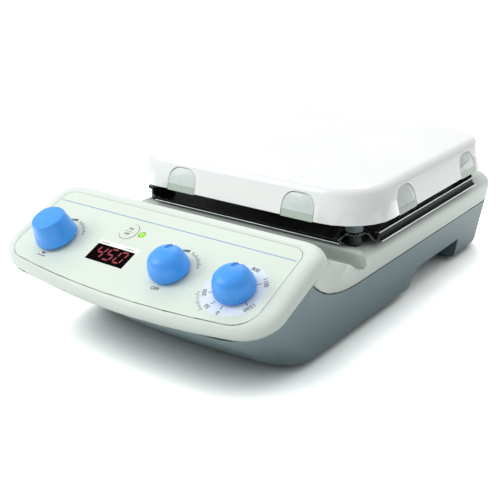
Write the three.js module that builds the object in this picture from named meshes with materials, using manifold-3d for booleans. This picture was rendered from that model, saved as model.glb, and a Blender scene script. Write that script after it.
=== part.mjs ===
// Heated magnetic stirrer: a white hot plate above a low housing with a tilted control console.
// Millimetres, +Z up, the console faces -Y. The origin lies on the bench, under the middle.
import * as THREE from "three";
import { mergeVertices } from "three/addons/utils/BufferGeometryUtils.js";
import Module from "manifold-3d";

const wasm = await Module();
wasm.setup();

// Overall size and the clearances that every piece shares
const overallWidth = 201;
const overallDepth = 330;
const overallHeight = 94;
const seatGap = 0.3;
const runningGap = 0.08;
const cutOverrun = 3;
const weldTolerance = 0.0001;
const housingWall = 2.5;

// Housing, the outline that the base and the cover share
const bodyWidth = 180;
const bodyBottomZ = 4;
const plateAboveDeck = 36;
const shoulderRadius = 8;
const seamShare = 0.6667;
const seamGap = 0.7;
const sideDraftShare = 0.14;
const rearDraftShare = 0.1;
const frontLipMargin = 3.5;
const frontOverhang = 55;
const bodyBow = 8;
const frontCornerRadius = 18;
const rearCornerRadius = 24;
const bottomEdgeRadius = 4;
const flareReach = 7;
const flareLength = 58;
const flareBelowSeam = 15;
const flareAboveDeck = 4;
const flareRearMargin = 13;

// Console, a tilted block with a bowed front
const consoleTilt = 24;
const consoleRise = 17.3;
const consoleThickness = 7.4;
const consoleFrontReach = 60.6;
const consoleRearReach = 18;
const consoleBow = 10.5;
const consoleFrontRadius = 18;
const consoleRearRadius = 15;
const consoleTopRounding = 6.5;
const consoleBottomRounding = 0.8;
const consoleSkin = 2.5;

// Spill channel between the console and the deck, and the seam below it
const channelUnderPlate = 11;
const channelDepth = 10.5;
const channelEdgeRadius = 3;
const channelHeadReach = 14;
const channelHeadDepth = 9;
const channelShares = [
  [1, 0],
  [0.943, 0.008],
  [0.83, 0.099],
  [0.66, 0.336],
  [0.464, 0.5375],
  [0.226, 0.723],
  [0.043, 0.937],
  [0, 1],
];
const pedestalOverlap = 14;
const seamRearMargin = 6;
const seamPeakMargin = -2.5;

// Finger recess under the base
const rearFootLength = 60;
const recessFrontReach = 16;
const recessHeightShare = 0.287;
const recessCornerRadius = 11;
const recessSlope = 5;

// Feet
const footRadius = 8;
const footHeight = 4;
const footEdge = 0.8;
const footStemRadius = 2.8;
const footStemLength = 5;
const footInsetX = 27;
const footFrontMargin = 21;
const footRearMargin = 29;

// Housing screws and their bosses
const screwInsetX = 26;
const screwChannelMargin = 22;
const screwRearMargin = 19;
const screwHeadRadius = 3;
const screwHeadHeight = 2.4;
const screwShankRadius = 1.5;
const screwLength = 22;
const screwBossRadius = 4.6;
const screwSeatDrop = 12;

// Hot plate with its skirt
const plateSide = 180;
const skirtSide = 192;
const skirtHeight = 20.2;
const skirtWall = 1.8;
const plateThickness = 5;
const plateTopRadius = 28;
const skirtBottomRadius = 32;
const plateEdgeRounding = 4;
const plateRearMargin = 26;
const plateConsoleReach = 58.7;
const notchWidth = 23.3;
const notchHeight = 14.8;
const notchPitch = 90;
const notchShiftX = 3.5;
const notchShiftY = 0.9;
const notchCornerRadius = 8.4;

// Pan, insulation, heater and sensor under the plate
const panSheet = 1.2;
const panDepth = 12;
const panRimGap = 0.9;
const panTabDrop = 0.6;
const panTabGap = 0.5;
const panTabInset = 0.1;
const padThickness = 5;
const padMargin = 12;
const elementRadius = 2.2;
const elementInnerLoop = 34;
const elementOuterLoop = 62;
const elementTailReach = 74;
const elementTailX = 3;
const elementOuterAngles = [-75, -45, 0, 45, 90, 135, 180, 225, 250];
const elementInnerAngles = [245, 225, 180, 135, 90, 45, 0, -45, -78];
const sensorRadius = 1.8;
const sensorLength = 36;

// Heat shield and the posts that carry the plate
const shieldWidth = 184.2;
const shieldDepth = 174.3;
const shieldSheet = 1;
const shieldRise = 1.6;
const shieldRimHeight = 5.4;
const shieldRimInset = 2.2;
const shieldRimLength = 138;
const shieldLipLength = 149;
const shieldLipHeight = 2.3;
const shieldStripWidth = 4;
const shieldHemWidth = 3;
const shieldEarRadius = 6.6;
const shieldLandRise = 6;
const shieldLandRadius = 6.9;
const shieldLandSlope = 7.5;
const shieldVentRadius = 14;
const postInset = 18;
const postFlangeRadius = 4.6;
const postStemRadius = 3.2;
const postRootDepth = 6;
const postBossRadius = 6.2;
const spacerRadius = 5.4;

// Stirring drive
const motorRadius = 23;
const motorFootGap = 1;
const motorCollarRadius = 7;
const motorBoreShare = 0.53;
const bracketSheet = 1.6;
const bracketLength = 104;
const bracketWidth = 34;
const bracketPostRadius = 4;
const bracketPostPitch = 92;
const driveShaftRadius = 2.5;
const magnetRadius = 8;
const magnetHeight = 6;
const magnetPitch = 50;
const magnetBarLength = 74;
const magnetBarWidth = 22;
const magnetBarHeight = 5;
const magnetSeatDepth = 2;
const rotorTopGap = 1.6;
const rotorBracketGap = 3;

// Printed control film and the parts seated in it
const filmThickness = 0.5;
const filmHalfWidth = 89.6;
const filmRear = 9;
const filmFront = 55.2;
const filmBow = 7;
const filmRearRadius = 8;
const filmFrontRadius = 12;
const windowX = -19.2;
const windowS = -30.5;
const windowWidth = 28.4;
const windowHeight = 13.2;
const windowThickness = 2.4;
const displayMargin = 2;
const buttonX = -21.2;
const buttonS = -10.5;
const buttonRadius = 6.2;
const buttonTravel = 0.8;
const buttonProud = 0.4;
const buttonFlangeRadius = 7.4;
const buttonFlangeThickness = 1.4;
const buttonStemRadius = 2;
const switchSide = 6;
const switchHeight = 3.4;
const ledX = -11.3;
const ledS = -10.4;
const ledRadius = 2.2;
const ledProud = 0.5;
const ledBaseRadius = 2.8;
const ledBaseHeight = 1.5;
const controlBoardDepth = 12;
const boardThickness = 1.6;
const controlBoardWidth = 70;
const controlBoardX = -16;
const controlBoardFront = -43;
const controlBoardRear = 2;
const controlPostRadius = 2.6;
const controlPostInset = 4;

// Knobs and what they turn
const knobS = -29.5;
const timerKnobX = -63.2;
const temperatureKnobX = 25.7;
const speedKnobX = 69.6;
const timerKnobRadius = 12.8;
const timerKnobTopRadius = 10.2;
const timerKnobHeight = 14.6;
const timerKnobEdge = 0.9;
const timerKnobGap = 1.8;
const dialKnobRadius = 11.7;
const dialKnobHeight = 13.2;
const dialKnobGap = 1.5;
const dialProfileShares = [
  [0.95, 0],
  [1, 0.12],
  [0.965, 0.35],
  [0.89, 0.6],
  [0.79, 0.78],
  [0.62, 0.905],
  [0.4, 0.97],
  [0, 1],
];
const pointerWidth = 3.2;
const pointerDepth = 0.7;
const pointerStart = 3.5;
const knobPocketRadius = 7.4;
const knobPocketDepth = 3.4;
const knobBoreDepth = 6.5;
const shaftRadius = 3;
const bushRadius = 3.6;
const bushProud = 2.4;
const nutAcross = 10;
const nutThickness = 1.8;
const potRadius = 8.4;
const potDepth = 8;
const potFloor = 1.4;
const encoderSide = 14;
const encoderRotorRadius = 5;
const encoderRotorHeight = 2.4;
const encoderShaftTail = 0.2;

// Power board and what stands on it
const mainBoardWidth = 108;
const mainBoardFrontMargin = 23;
const mainBoardRearGap = 11;
const mainBoardZ = 13;
const mainPostRadius = 3;
const mainPostInset = 7;
const transformerX = -28;
const transformerRearMargin = 24;
const transformerWidth = 44;
const transformerDepth = 34;
const transformerHeightShare = 0.69;
const coreDepth = 16;
const coilMargin = 5;
const sinkX = 30;
const sinkRearMargin = 26;
const sinkWidth = 40;
const sinkDepth = 22;
const sinkHeightShare = 0.59;
const sinkFins = 6;
const sinkFinThickness = 1.6;
const sinkBase = 3;
const capacitorX = 2;
const capacitorFrontMargin = 28;
const capacitorRadius = 7;
const capacitorHeightShare = 0.6;

// Mains inlet with its pins and fuse drawer, in the rear wall
const inletX = -43;
const inletFloorGap = 4;
const inletSeamGap = 1.5;
const inletWidth = 31;
const inletFlange = 1.3;
const inletPadDepth = 5;
const inletPadMargin = 1.5;
const inletBodyMargin = 2;
const inletBodyDepth = 25;
const socketWidth = 24;
const socketHeightShare = 0.48;
const socketChamferShare = 0.3;
const socketDepth = 18;
const socketRiseShare = 0.157;
const pinPitch = 14;
const pinWidth = 2;
const pinHeightShare = 0.3;
const pinReach = 11.5;
const pinTail = 4;
const pinDropShare = 0.112;
const earthRiseShare = 0.164;
const drawerWidth = 22;
const drawerHeightShare = 0.2;
const drawerDepth = 18;
const drawerDropShare = 0.286;
const drawerGripWidth = 8;
const drawerGripDepth = 2;
const drawerGripShare = 0.464;

// Threaded bush for a support rod, in the rear of the deck
const rodBushX = 34;
const rodBushRearMargin = 15.5;
const rodBushRadius = 5.8;
const rodBushFlangeRadius = 7;
const rodBushFlange = 2;
const rodBushLength = 21;
const rodBoreRadius = 4.25;
const rodBoreDepth = 18;
const rodBossWall = 2.4;

// Fineness of round shapes
const cornerSteps = 6;
const sideSteps = 12;
const frontSteps = 8;
const arcSteps = 4;
const seamSteps = 8;
const channelSteps = 12;
const smallSides = 12;
const roundSides = 20;
const knobSides = 32;
const elementSteps = 50;
const elementSides = 6;

// Places worked out from the sizes above
const tilt = THREE.MathUtils.degToRad(consoleTilt);
const upright = Math.PI / 2;
const frontY = -overallDepth / 2;
const rearY = overallDepth / 2;
const deckZ = overallHeight - plateAboveDeck;
const housingHeight = deckZ - bodyBottomZ;
const seamZ = bodyBottomZ + housingHeight * seamShare;
const recessTopZ = bodyBottomZ + housingHeight * recessHeightShare;
const consoleOriginZ = deckZ + consoleRise;
const channelFloorZ = deckZ - channelDepth;
const screwSeatZ = seamZ - screwSeatDrop;
const shoulderZ = deckZ - shoulderRadius;
const bottomFrontY = frontY + frontOverhang;
const skirtBottomZ = overallHeight - skirtHeight;
const plateUndersideZ = overallHeight - plateThickness;
const floorTopZ = bodyBottomZ + housingWall;
const coverUndersideZ = deckZ - housingWall;
const postPlace = skirtSide / 2 - postInset;
const panFloorZ = plateUndersideZ - panDepth;
const panRimZ = plateUndersideZ - panRimGap;
const shieldFloorZ = deckZ + shieldRise;
const shieldRimTopZ = shieldFloorZ + shieldRimHeight;
const shieldLandZ = shieldFloorZ + shieldLandRise;
const lipZ = consoleOriginZ - consoleFrontReach * Math.sin(tilt) - consoleThickness * Math.cos(tilt);
const frontSlant = (frontOverhang - frontLipMargin) / (lipZ - bodyBottomZ);

const whiteEnamel = { color: 0xf4f6f4, roughness: 0.25, metalness: 0 };
const coverPlastic = { color: 0xe4e8df, roughness: 0.45, metalness: 0 };
const basePlastic = { color: 0x62757a, roughness: 0.55, metalness: 0 };
const knobPlastic = { color: 0x4596ff, roughness: 0.4, metalness: 0 };
const blackPlastic = { color: 0x17191a, roughness: 0.5, metalness: 0 };
const darkSteel = { color: 0x2a2d2f, roughness: 0.3, metalness: 0.9 };
const steel = { color: 0xb9bec2, roughness: 0.35, metalness: 0.9 };
const aluminium = { color: 0xc7cbce, roughness: 0.4, metalness: 0.8 };
const brass = { color: 0xc9a24e, roughness: 0.35, metalness: 0.9 };
const ceramic = { color: 0xd9d6cc, roughness: 0.7, metalness: 0 };
const fibre = { color: 0xe9e6da, roughness: 0.95, metalness: 0 };
const rubber = { color: 0x1c1d1e, roughness: 0.9, metalness: 0 };
const boardGreen = { color: 0x1f6a3c, roughness: 0.6, metalness: 0 };
const filmPlastic = { color: 0xf0f3ec, roughness: 0.35, metalness: 0 };
const lensRed = { color: 0x2a0508, roughness: 0.15, metalness: 0 };
const lensGreen = { color: 0x7be02a, roughness: 0.2, metalness: 0 };

// A closed geometry as a solid that can be joined and cut
function solidOf(geometry) {
  const bare = geometry.clone();
  bare.deleteAttribute("normal");
  bare.deleteAttribute("uv");
  const merged = mergeVertices(bare, weldTolerance);
  const corners = merged.index.array;
  const kept = [];
  for (let i = 0; i < corners.length; i += 3) {
    const [a, b, c] = [corners[i], corners[i + 1], corners[i + 2]];
    if (a !== b && b !== c && c !== a) kept.push(a, b, c);
  }
  const mesh = new wasm.Mesh({
    numProp: 3,
    vertProperties: new Float32Array(merged.attributes.position.array),
    triVerts: new Uint32Array(kept),
  });
  return new wasm.Manifold(mesh);
}

function geometryOf(solid) {
  const mesh = solid.getMesh();
  const geometry = new THREE.BufferGeometry();
  geometry.setAttribute("position", new THREE.BufferAttribute(mesh.vertProperties, mesh.numProp));
  geometry.setIndex(new THREE.BufferAttribute(mesh.triVerts, 1));
  geometry.computeVertexNormals();
  return geometry;
}

function joined(solids) {
  return solids.reduce((sum, piece) => sum.add(piece));
}

function cut(solid, cutters) {
  return cutters.reduce((rest, cutter) => rest.subtract(cutter), solid);
}

const root = new THREE.Group();

function addPart(name, solid, look, group = root) {
  const mesh = new THREE.Mesh(geometryOf(solid), new THREE.MeshStandardMaterial(look));
  mesh.name = name;
  group.add(mesh);
  return mesh;
}

// A block between two corners
function block(low, high) {
  const size = high.map((value, axis) => value - low[axis]);
  const middle = high.map((value, axis) => (value + low[axis]) / 2);
  return solidOf(new THREE.BoxGeometry(...size).translate(...middle));
}

// An upright cylinder between two heights
function rod(x, y, lowZ, highZ, radius, sides = smallSides) {
  const shape = new THREE.CylinderGeometry(radius, radius, highZ - lowZ, sides);
  return solidOf(shape.rotateX(upright).translate(x, y, (lowZ + highZ) / 2));
}

// A turned piece from a profile of radius and height, drawn from the bottom up
function turned(profile, x, y, sides = roundSides) {
  const points = profile.map(([radius, z]) => new THREE.Vector2(radius, z));
  return solidOf(new THREE.LatheGeometry(points, sides).rotateX(upright).translate(x, y, 0));
}

// A slab with a drawn outline between two heights
function slab(points, lowZ, highZ) {
  const settings = { depth: highZ - lowZ, bevelEnabled: false };
  const shape = new THREE.ExtrudeGeometry(new THREE.Shape(points), settings);
  return solidOf(shape.translate(0, 0, lowZ));
}

// A side view in y and z, pushed through along X
function acrossWidth(points, lowX, highX) {
  const shape = new THREE.Shape(points.map(([y, z]) => new THREE.Vector2(y, z)));
  const settings = { depth: highX - lowX, bevelEnabled: false };
  const pushed = new THREE.ExtrudeGeometry(shape, settings);
  return solidOf(pushed.rotateX(upright).rotateZ(upright).translate(lowX, 0, 0));
}

// A front view in x and z, pushed through along Y
function alongDepth(points, lowY, highY) {
  const shape = new THREE.Shape(points.map(([x, z]) => new THREE.Vector2(x, z)));
  const settings = { depth: highY - lowY, bevelEnabled: false };
  return solidOf(new THREE.ExtrudeGeometry(shape, settings).rotateX(upright).translate(0, highY, 0));
}

// A skin over level rings that all have the same number of points
function loft(rings) {
  const count = rings[0].points.length;
  const top = rings.length - 1;
  const positions = rings.flatMap(({ points, z }) => points.flatMap((p) => [p.x, p.y, z]));
  const faces = [];
  for (let level = 0; level < top; level++) {
    for (let i = 0; i < count; i++) {
      const a = level * count + i;
      const b = level * count + ((i + 1) % count);
      faces.push(a, b, b + count, a, b + count, a + count);
    }
  }
  const bottomCap = THREE.ShapeUtils.triangulateShape(rings[0].points, []);
  const topCap = THREE.ShapeUtils.triangulateShape(rings[top].points, []);
  bottomCap.forEach(([a, b, c]) => faces.push(a, c, b));
  topCap.forEach(([a, b, c]) => faces.push(top * count + a, top * count + b, top * count + c));
  const geometry = new THREE.BufferGeometry();
  geometry.setAttribute("position", new THREE.Float32BufferAttribute(positions, 3));
  geometry.setIndex(faces);
  return solidOf(geometry);
}

function smooth(value) {
  const t = THREE.MathUtils.clamp(value, 0, 1);
  return t * t * (3 - 2 * t);
}

// How far in and how far down each step of a rounded edge lies, from the wall to the top
function roundingSteps(radius, steps = arcSteps) {
  return Array.from({ length: steps + 1 }, (_, i) => {
    const angle = (upright * i) / steps;
    return { inset: radius * (1 - Math.cos(angle)), drop: radius * (1 - Math.sin(angle)) };
  });
}

// A level outline, anticlockwise from the front of its right side. The bow draws the
// front corners back from the middle of the front edge.
function outline(edge, { sides = 1, fronts = 1, bow = 0 } = {}) {
  const { halfWidth, front, rear, frontRadius, rearRadius } = edge;
  const points = [];
  const line = (fromX, fromY, toX, toY, steps) => {
    for (let i = 0; i < steps; i++) {
      const t = i / steps;
      points.push(new THREE.Vector2(fromX + (toX - fromX) * t, fromY + (toY - fromY) * t));
    }
  };
  const corner = (x, y, radius, start) => {
    for (let i = 0; i < cornerSteps; i++) {
      const angle = start + (upright * i) / cornerSteps;
      points.push(new THREE.Vector2(x + radius * Math.cos(angle), y + radius * Math.sin(angle)));
    }
  };
  const rearX = halfWidth - rearRadius;
  const frontX = halfWidth - frontRadius;
  const rearStop = rear - rearRadius;
  const frontStop = front + frontRadius;
  line(halfWidth, frontStop, halfWidth, rearStop, sides);
  corner(rearX, rearStop, rearRadius, 0);
  line(rearX, rear, -rearX, rear, 1);
  corner(-rearX, rearStop, rearRadius, upright);
  line(-halfWidth, rearStop, -halfWidth, frontStop, sides);
  corner(-frontX, frontStop, frontRadius, 2 * upright);
  line(-frontX, front, frontX, front, fronts);
  corner(frontX, frontStop, frontRadius, 3 * upright);
  return points.map((p) => {
    const forward = (rear - p.y) / (rear - front);
    return new THREE.Vector2(p.x, p.y + bow * forward * (p.x / halfWidth) ** 2);
  });
}

function squareOutline(side, radius) {
  const halfDepth = (side + plateStretch) / 2;
  const [front, rear] = [plateY - halfDepth, plateY + halfDepth];
  return outline({ halfWidth: side / 2, front, rear, frontRadius: radius, rearRadius: radius });
}

// The console's block in its own frame: x across, y up the slope, z square to the panel
function consoleRing(inset) {
  const edge = {
    halfWidth: overallWidth / 2 - inset,
    front: inset - consoleFrontReach,
    rear: consoleRearReach - inset,
    frontRadius: consoleFrontRadius - inset / 2,
    rearRadius: consoleRearRadius - inset / 2,
  };
  return outline(edge, { fronts: frontSteps, bow: consoleBow });
}

const flatBlock = loft([
  ...roundingSteps(consoleBottomRounding, 2)
    .reverse()
    .map(({ inset, drop }) => ({ z: drop - consoleThickness, points: consoleRing(inset) })),
  ...roundingSteps(consoleTopRounding).map(({ inset, drop }) => ({
    z: -drop,
    points: consoleRing(inset),
  })),
]);

// The console's frame is set so that its front lip is the frontmost point of the object
const restingBlock = geometryOf(flatBlock).rotateX(tilt);
restingBlock.computeBoundingBox();
const consoleOriginY = frontY - restingBlock.boundingBox.min.y;
const consoleGroup = new THREE.Group();
consoleGroup.position.set(0, consoleOriginY, consoleOriginZ);
consoleGroup.rotation.x = tilt;
consoleGroup.updateMatrix();
root.add(consoleGroup);

// The plate fills the length between the console and the rear margin
const plateFrontY = consoleOriginY + plateConsoleReach;
const plateRearY = rearY - plateRearMargin;
const plateY = (plateFrontY + plateRearY) / 2;
const plateStretch = plateRearY - plateFrontY - skirtSide;
const channelRearY = plateFrontY + channelUnderPlate;
const postPlaceY = postPlace + plateStretch / 2;

function onConsole(solid) {
  return solidOf(geometryOf(solid).applyMatrix4(consoleGroup.matrix));
}

// The side view place of a point at a reach up the slope and a depth below the panel
function consolePoint(reach, depth) {
  const y = consoleOriginY + reach * Math.cos(tilt) + depth * Math.sin(tilt);
  const z = consoleOriginZ + reach * Math.sin(tilt) - depth * Math.cos(tilt);
  return [y, z];
}

// The same, for a point at a given y
function consolePointAt(y, depth) {
  const reach = (y - consoleOriginY - depth * Math.sin(tilt)) / Math.cos(tilt);
  return consolePoint(reach, depth);
}

// The outline of the housing at a height, drawn in by an inset. Near the console its
// sides flare out to meet the console's edge.
function bodyOutline(z, inset) {
  const halfWidth = bodyWidth / 2 + (z - shoulderZ) * sideDraftShare - inset;
  const slantInset = inset * Math.hypot(1, frontSlant);
  const edge = {
    halfWidth,
    front: bottomFrontY - (z - bodyBottomZ) * frontSlant + slantInset,
    rear: rearY - Math.abs(shoulderZ - z) * rearDraftShare - inset,
    frontRadius: frontCornerRadius - inset / 2,
    rearRadius: rearCornerRadius - inset,
  };
  const rise = smooth((z - seamZ + flareBelowSeam) / (deckZ + flareAboveDeck - seamZ + flareBelowSeam));
  const flareStartY = channelRearY - flareRearMargin;
  return outline(edge, { sides: sideSteps, fronts: frontSteps, bow: bodyBow }).map((p) => {
    const flare = flareReach * rise * smooth((flareStartY - p.y) / flareLength);
    return new THREE.Vector2(p.x * (1 + flare / halfWidth), p.y);
  });
}

function bodyWall(lowZ, highZ, inset) {
  const heights = [lowZ, (lowZ * 2 + highZ) / 3, (lowZ + highZ * 2) / 3, highZ];
  return loft(heights.map((z) => ({ z, points: bodyOutline(z, inset) })));
}

// Side views that the base and the cover are cut to
const farFrontY = frontY - cutOverrun;
const farRearY = rearY + cutOverrun;
const farX = overallWidth;
const wallTopZ = consoleOriginZ;
const seamFlatY = channelRearY - seamRearMargin;
const seamPeakY = consoleOriginY + seamPeakMargin;
const seamPeakZ = consolePointAt(seamPeakY, consoleThickness)[1];

// Everything below the seam: level at the rear, rising in a curve to the console's
// underside, then down and forward along it
function belowSeam(shift) {
  const curve = Array.from({ length: seamSteps + 1 }, (_, i) => {
    const t = i / seamSteps;
    return [seamFlatY + (seamPeakY - seamFlatY) * t, seamZ + (seamPeakZ - seamZ) * t * t + shift];
  });
  const lip = consolePointAt(farFrontY, consoleThickness - shift);
  return acrossWidth(
    [[farRearY, -cutOverrun], [farRearY, seamZ + shift], ...curve, lip, [farFrontY, -cutOverrun]],
    -farX,
    farX,
  );
}

// The spill channel's S-shaped floor, from the deck's foot up to the console
function channelCurve(drop) {
  const [footY, footZ] = consolePoint(channelHeadReach, channelHeadDepth);
  const points = channelShares.map(([along, up]) => {
    const y = footY + (channelRearY - footY) * along;
    return new THREE.Vector3(y, channelFloorZ + (footZ - channelFloorZ) * up - drop, 0);
  });
  const curve = new THREE.CatmullRomCurve3(points, false, "centripetal");
  return curve.getPoints(channelSteps).map((p) => [p.x, p.y]);
}

// The pedestal under the console: the channel's floor behind, the panel above
function pedestal(drop, frontEdgeY, rearEdgeY, depth, lowZ) {
  const head = consolePoint(consoleRearReach - consoleTopRounding - drop, depth);
  const [, frontTopZ] = consolePointAt(frontEdgeY, depth);
  const floor = channelCurve(drop);
  const profile = [
    [frontEdgeY, lowZ],
    [rearEdgeY, lowZ],
    [rearEdgeY, floor[0][1]],
    ...floor,
    head,
    [frontEdgeY, frontTopZ],
  ];
  return acrossWidth(profile, -farX, farX);
}

// The deck's side view, with its rounded front edge above the channel
function deckView(inset, lowZ) {
  const edge = roundingSteps(channelEdgeRadius).map(({ inset: back, drop }) => [
    channelRearY + inset + back,
    deckZ - inset - drop,
  ]);
  const profile = [
    [channelRearY + inset, lowZ],
    ...edge,
    [farRearY, deckZ - inset],
    [farRearY, lowZ],
  ];
  return acrossWidth(profile.reverse(), -farX, farX);
}

function deckBody(inset, lowZ) {
  const rings = roundingSteps(shoulderRadius - inset).map((step) => {
    const z = deckZ - inset - step.drop;
    return { z, points: bodyOutline(shoulderZ, inset + step.inset) };
  });
  const wall = [{ z: lowZ, points: bodyOutline(lowZ, inset) }];
  return loft([...wall, ...rings]).intersect(deckView(inset, lowZ - cutOverrun));
}

// Places under the deck where the cover and the base are screwed together
const screwPlaces = [-1, 1].flatMap((side) => [
  [side * (bodyWidth / 2 - screwInsetX), channelRearY - screwChannelMargin],
  [side * (bodyWidth / 2 - screwInsetX), rearY - screwRearMargin],
]);
const cornerNames = ["front_left", "rear_left", "front_right", "rear_right"];
const screwTopZ = screwSeatZ + screwLength;

// The recess under the base, a finger's depth high, with a sloped and rounded front
const recessRearY = rearY - rearFootLength;
const recessFrontY = plateY - recessFrontReach;

function recess(grow) {
  const radius = recessCornerRadius + grow;
  const crownY = recessFrontY + recessSlope + recessCornerRadius;
  const crownZ = recessTopZ - recessCornerRadius;
  const arc = Array.from({ length: arcSteps + 1 }, (_, i) => {
    const angle = (upright * i) / arcSteps;
    return [crownY - radius * Math.sin(angle), crownZ + radius * Math.cos(angle)];
  });
  const profile = [
    [recessFrontY - grow, -cutOverrun],
    [recessRearY + grow, -cutOverrun],
    [recessRearY + grow, recessTopZ + grow],
    ...arc,
  ];
  return acrossWidth(profile, -farX, farX);
}

// Base housing: a moulded tub with a slanted front, open at the top
const mainBoardFrontY = bottomFrontY + mainBoardFrontMargin;
const mainBoardRearY = plateY - motorRadius - mainBoardRearGap;
const mainPosts = [-1, 1].flatMap((side) =>
  [mainBoardFrontY + mainPostInset, mainBoardRearY - mainPostInset].map((y) => [
    side * (mainBoardWidth / 2 - mainPostInset),
    y,
  ]),
);
const footPlaces = [-1, 1].flatMap((side) => [
  [side * (bodyWidth / 2 - footInsetX), bottomFrontY + footFrontMargin],
  [side * (bodyWidth / 2 - footInsetX), rearY - footRearMargin],
]);
const inletFaceY = rearY - inletFlange - seatGap;
const inletBottomZ = floorTopZ + inletFloorGap;
const inletHeight = seamZ - inletSeamGap - inletBottomZ;
const inletZ = inletBottomZ + inletHeight / 2;

function inletBlock(margin, lowY, highY) {
  const [halfWide, halfHigh] = [inletWidth / 2 + margin, inletHeight / 2 + margin];
  return block(
    [inletX - halfWide, lowY, inletZ - halfHigh],
    [inletX + halfWide, highY, inletZ + halfHigh],
  );
}

function baseHousing() {
  const rings = [
    ...roundingSteps(bottomEdgeRadius, 3)
      .reverse()
      .map(({ inset, drop }) => ({
        z: bodyBottomZ + drop,
        points: bodyOutline(bodyBottomZ + drop, inset),
      })),
    ...[seamZ / 2, seamZ, seamPeakZ, wallTopZ].map((z) => ({ z, points: bodyOutline(z, 0) })),
  ];
  const hollow = bodyWall(floorTopZ, wallTopZ + cutOverrun, housingWall);
  const tub = loft(rings).subtract(hollow.subtract(recess(housingWall)));
  const bosses = screwPlaces.map(([x, y]) =>
    rod(x, y, bodyBottomZ, seamZ - seamGap, screwBossRadius),
  );
  const posts = mainPosts.map(([x, y]) =>
    rod(x, y, bodyBottomZ, mainBoardZ - seatGap, mainPostRadius),
  );
  const inletPad = inletBlock(inletPadMargin, inletFaceY - inletPadDepth, inletFaceY);
  const whole = joined([tub, ...bosses, ...posts, inletPad]);
  const screwHoles = screwPlaces.flatMap(([x, y]) => [
    rod(x, y, -cutOverrun, screwSeatZ, screwHeadRadius + seatGap),
    rod(x, y, -cutOverrun, seamZ + cutOverrun, screwShankRadius + seatGap),
  ]);
  const footHoles = footPlaces.map(([x, y]) =>
    rod(x, y, -cutOverrun, floorTopZ + cutOverrun, footStemRadius + seatGap),
  );
  return cut(whole.intersect(belowSeam(-seamGap)), [
    recess(0),
    ...screwHoles,
    ...footHoles,
    inletBlock(seatGap, inletFaceY, farRearY),
    inletBlock(seatGap - inletBodyMargin, inletFaceY - 2 * inletPadDepth, farRearY),
  ]);
}

addPart("base_housing", baseHousing(), basePlastic);

// Rubber feet, pushed into the base from below
footPlaces.forEach(([x, y], i) => {
  const top = footHeight - seatGap;
  const profile = [
    [0, 0],
    [footRadius - footEdge, 0],
    [footRadius, footEdge],
    [footRadius - footEdge, top],
    [footStemRadius, top],
    [footStemRadius, top + footStemLength],
    [0, top + footStemLength],
  ];
  addPart(`rubber_foot_${cornerNames[i]}`, turned(profile, x, y, smallSides), rubber);
});

// Screws that draw the base up to the cover
screwPlaces.forEach(([x, y], i) => {
  const seat = screwSeatZ - seatGap;
  const head = rod(x, y, seat - screwHeadHeight, seat, screwHeadRadius);
  const shank = rod(x, y, seat - screwHeadHeight, screwTopZ, screwShankRadius);
  addPart(`housing_screw_${cornerNames[i]}`, head.add(shank), steel);
});

// Film, window, button and knob openings, in the console's frame
function filmOutline(margin) {
  const edge = {
    halfWidth: filmHalfWidth + margin,
    front: -filmFront - margin,
    rear: filmRear + margin,
    frontRadius: filmFrontRadius + margin,
    rearRadius: filmRearRadius + margin,
  };
  return outline(edge, { fronts: frontSteps, bow: filmBow });
}

const knobPlaces = [timerKnobX, temperatureKnobX, speedKnobX];
const panelFloor = -controlBoardDepth;

function panelOpenings(depth, bushMargin) {
  const [halfWide, halfHigh] = [windowWidth / 2 + seatGap, windowHeight / 2 + seatGap];
  return [
    block(
      [windowX - halfWide, windowS - halfHigh, -depth],
      [windowX + halfWide, windowS + halfHigh, cutOverrun],
    ),
    rod(buttonX, buttonS, -depth, cutOverrun, buttonRadius + seatGap, roundSides),
    rod(ledX, ledS, -depth, cutOverrun, ledRadius + seatGap),
    ...knobPlaces.map((x) =>
      rod(x, knobS, -depth, cutOverrun, bushRadius + bushMargin, roundSides),
    ),
  ];
}

// Top cover: one moulded shell with the console, the spill channel and the deck
const shieldLandTopZ = shieldLandZ + shieldSheet;
const postPlaces = [-1, 1].flatMap((side) => [
  [side * postPlace, plateY - postPlaceY],
  [side * postPlace, plateY + postPlaceY],
]);
const postRootZ = deckZ - postRootDepth;
const magnetTopZ = coverUndersideZ - rotorTopGap;
const barTopZ = magnetTopZ - magnetHeight + magnetSeatDepth;
const barBottomZ = barTopZ - magnetBarHeight;
const bracketTopZ = barBottomZ - rotorBracketGap;
const bracketPosts = [-1, 1].map((side) => [(side * bracketPostPitch) / 2, plateY]);
const rodBushY = rearY - rodBushRearMargin;
const rodBushBottomZ = deckZ - rodBushLength;
const controlPosts = [-1, 1].flatMap((side) =>
  [controlBoardFront + controlPostInset, controlBoardRear - controlPostInset].map((s) => [
    controlBoardX + side * (controlBoardWidth / 2 - controlPostInset),
    s,
  ]),
);

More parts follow.
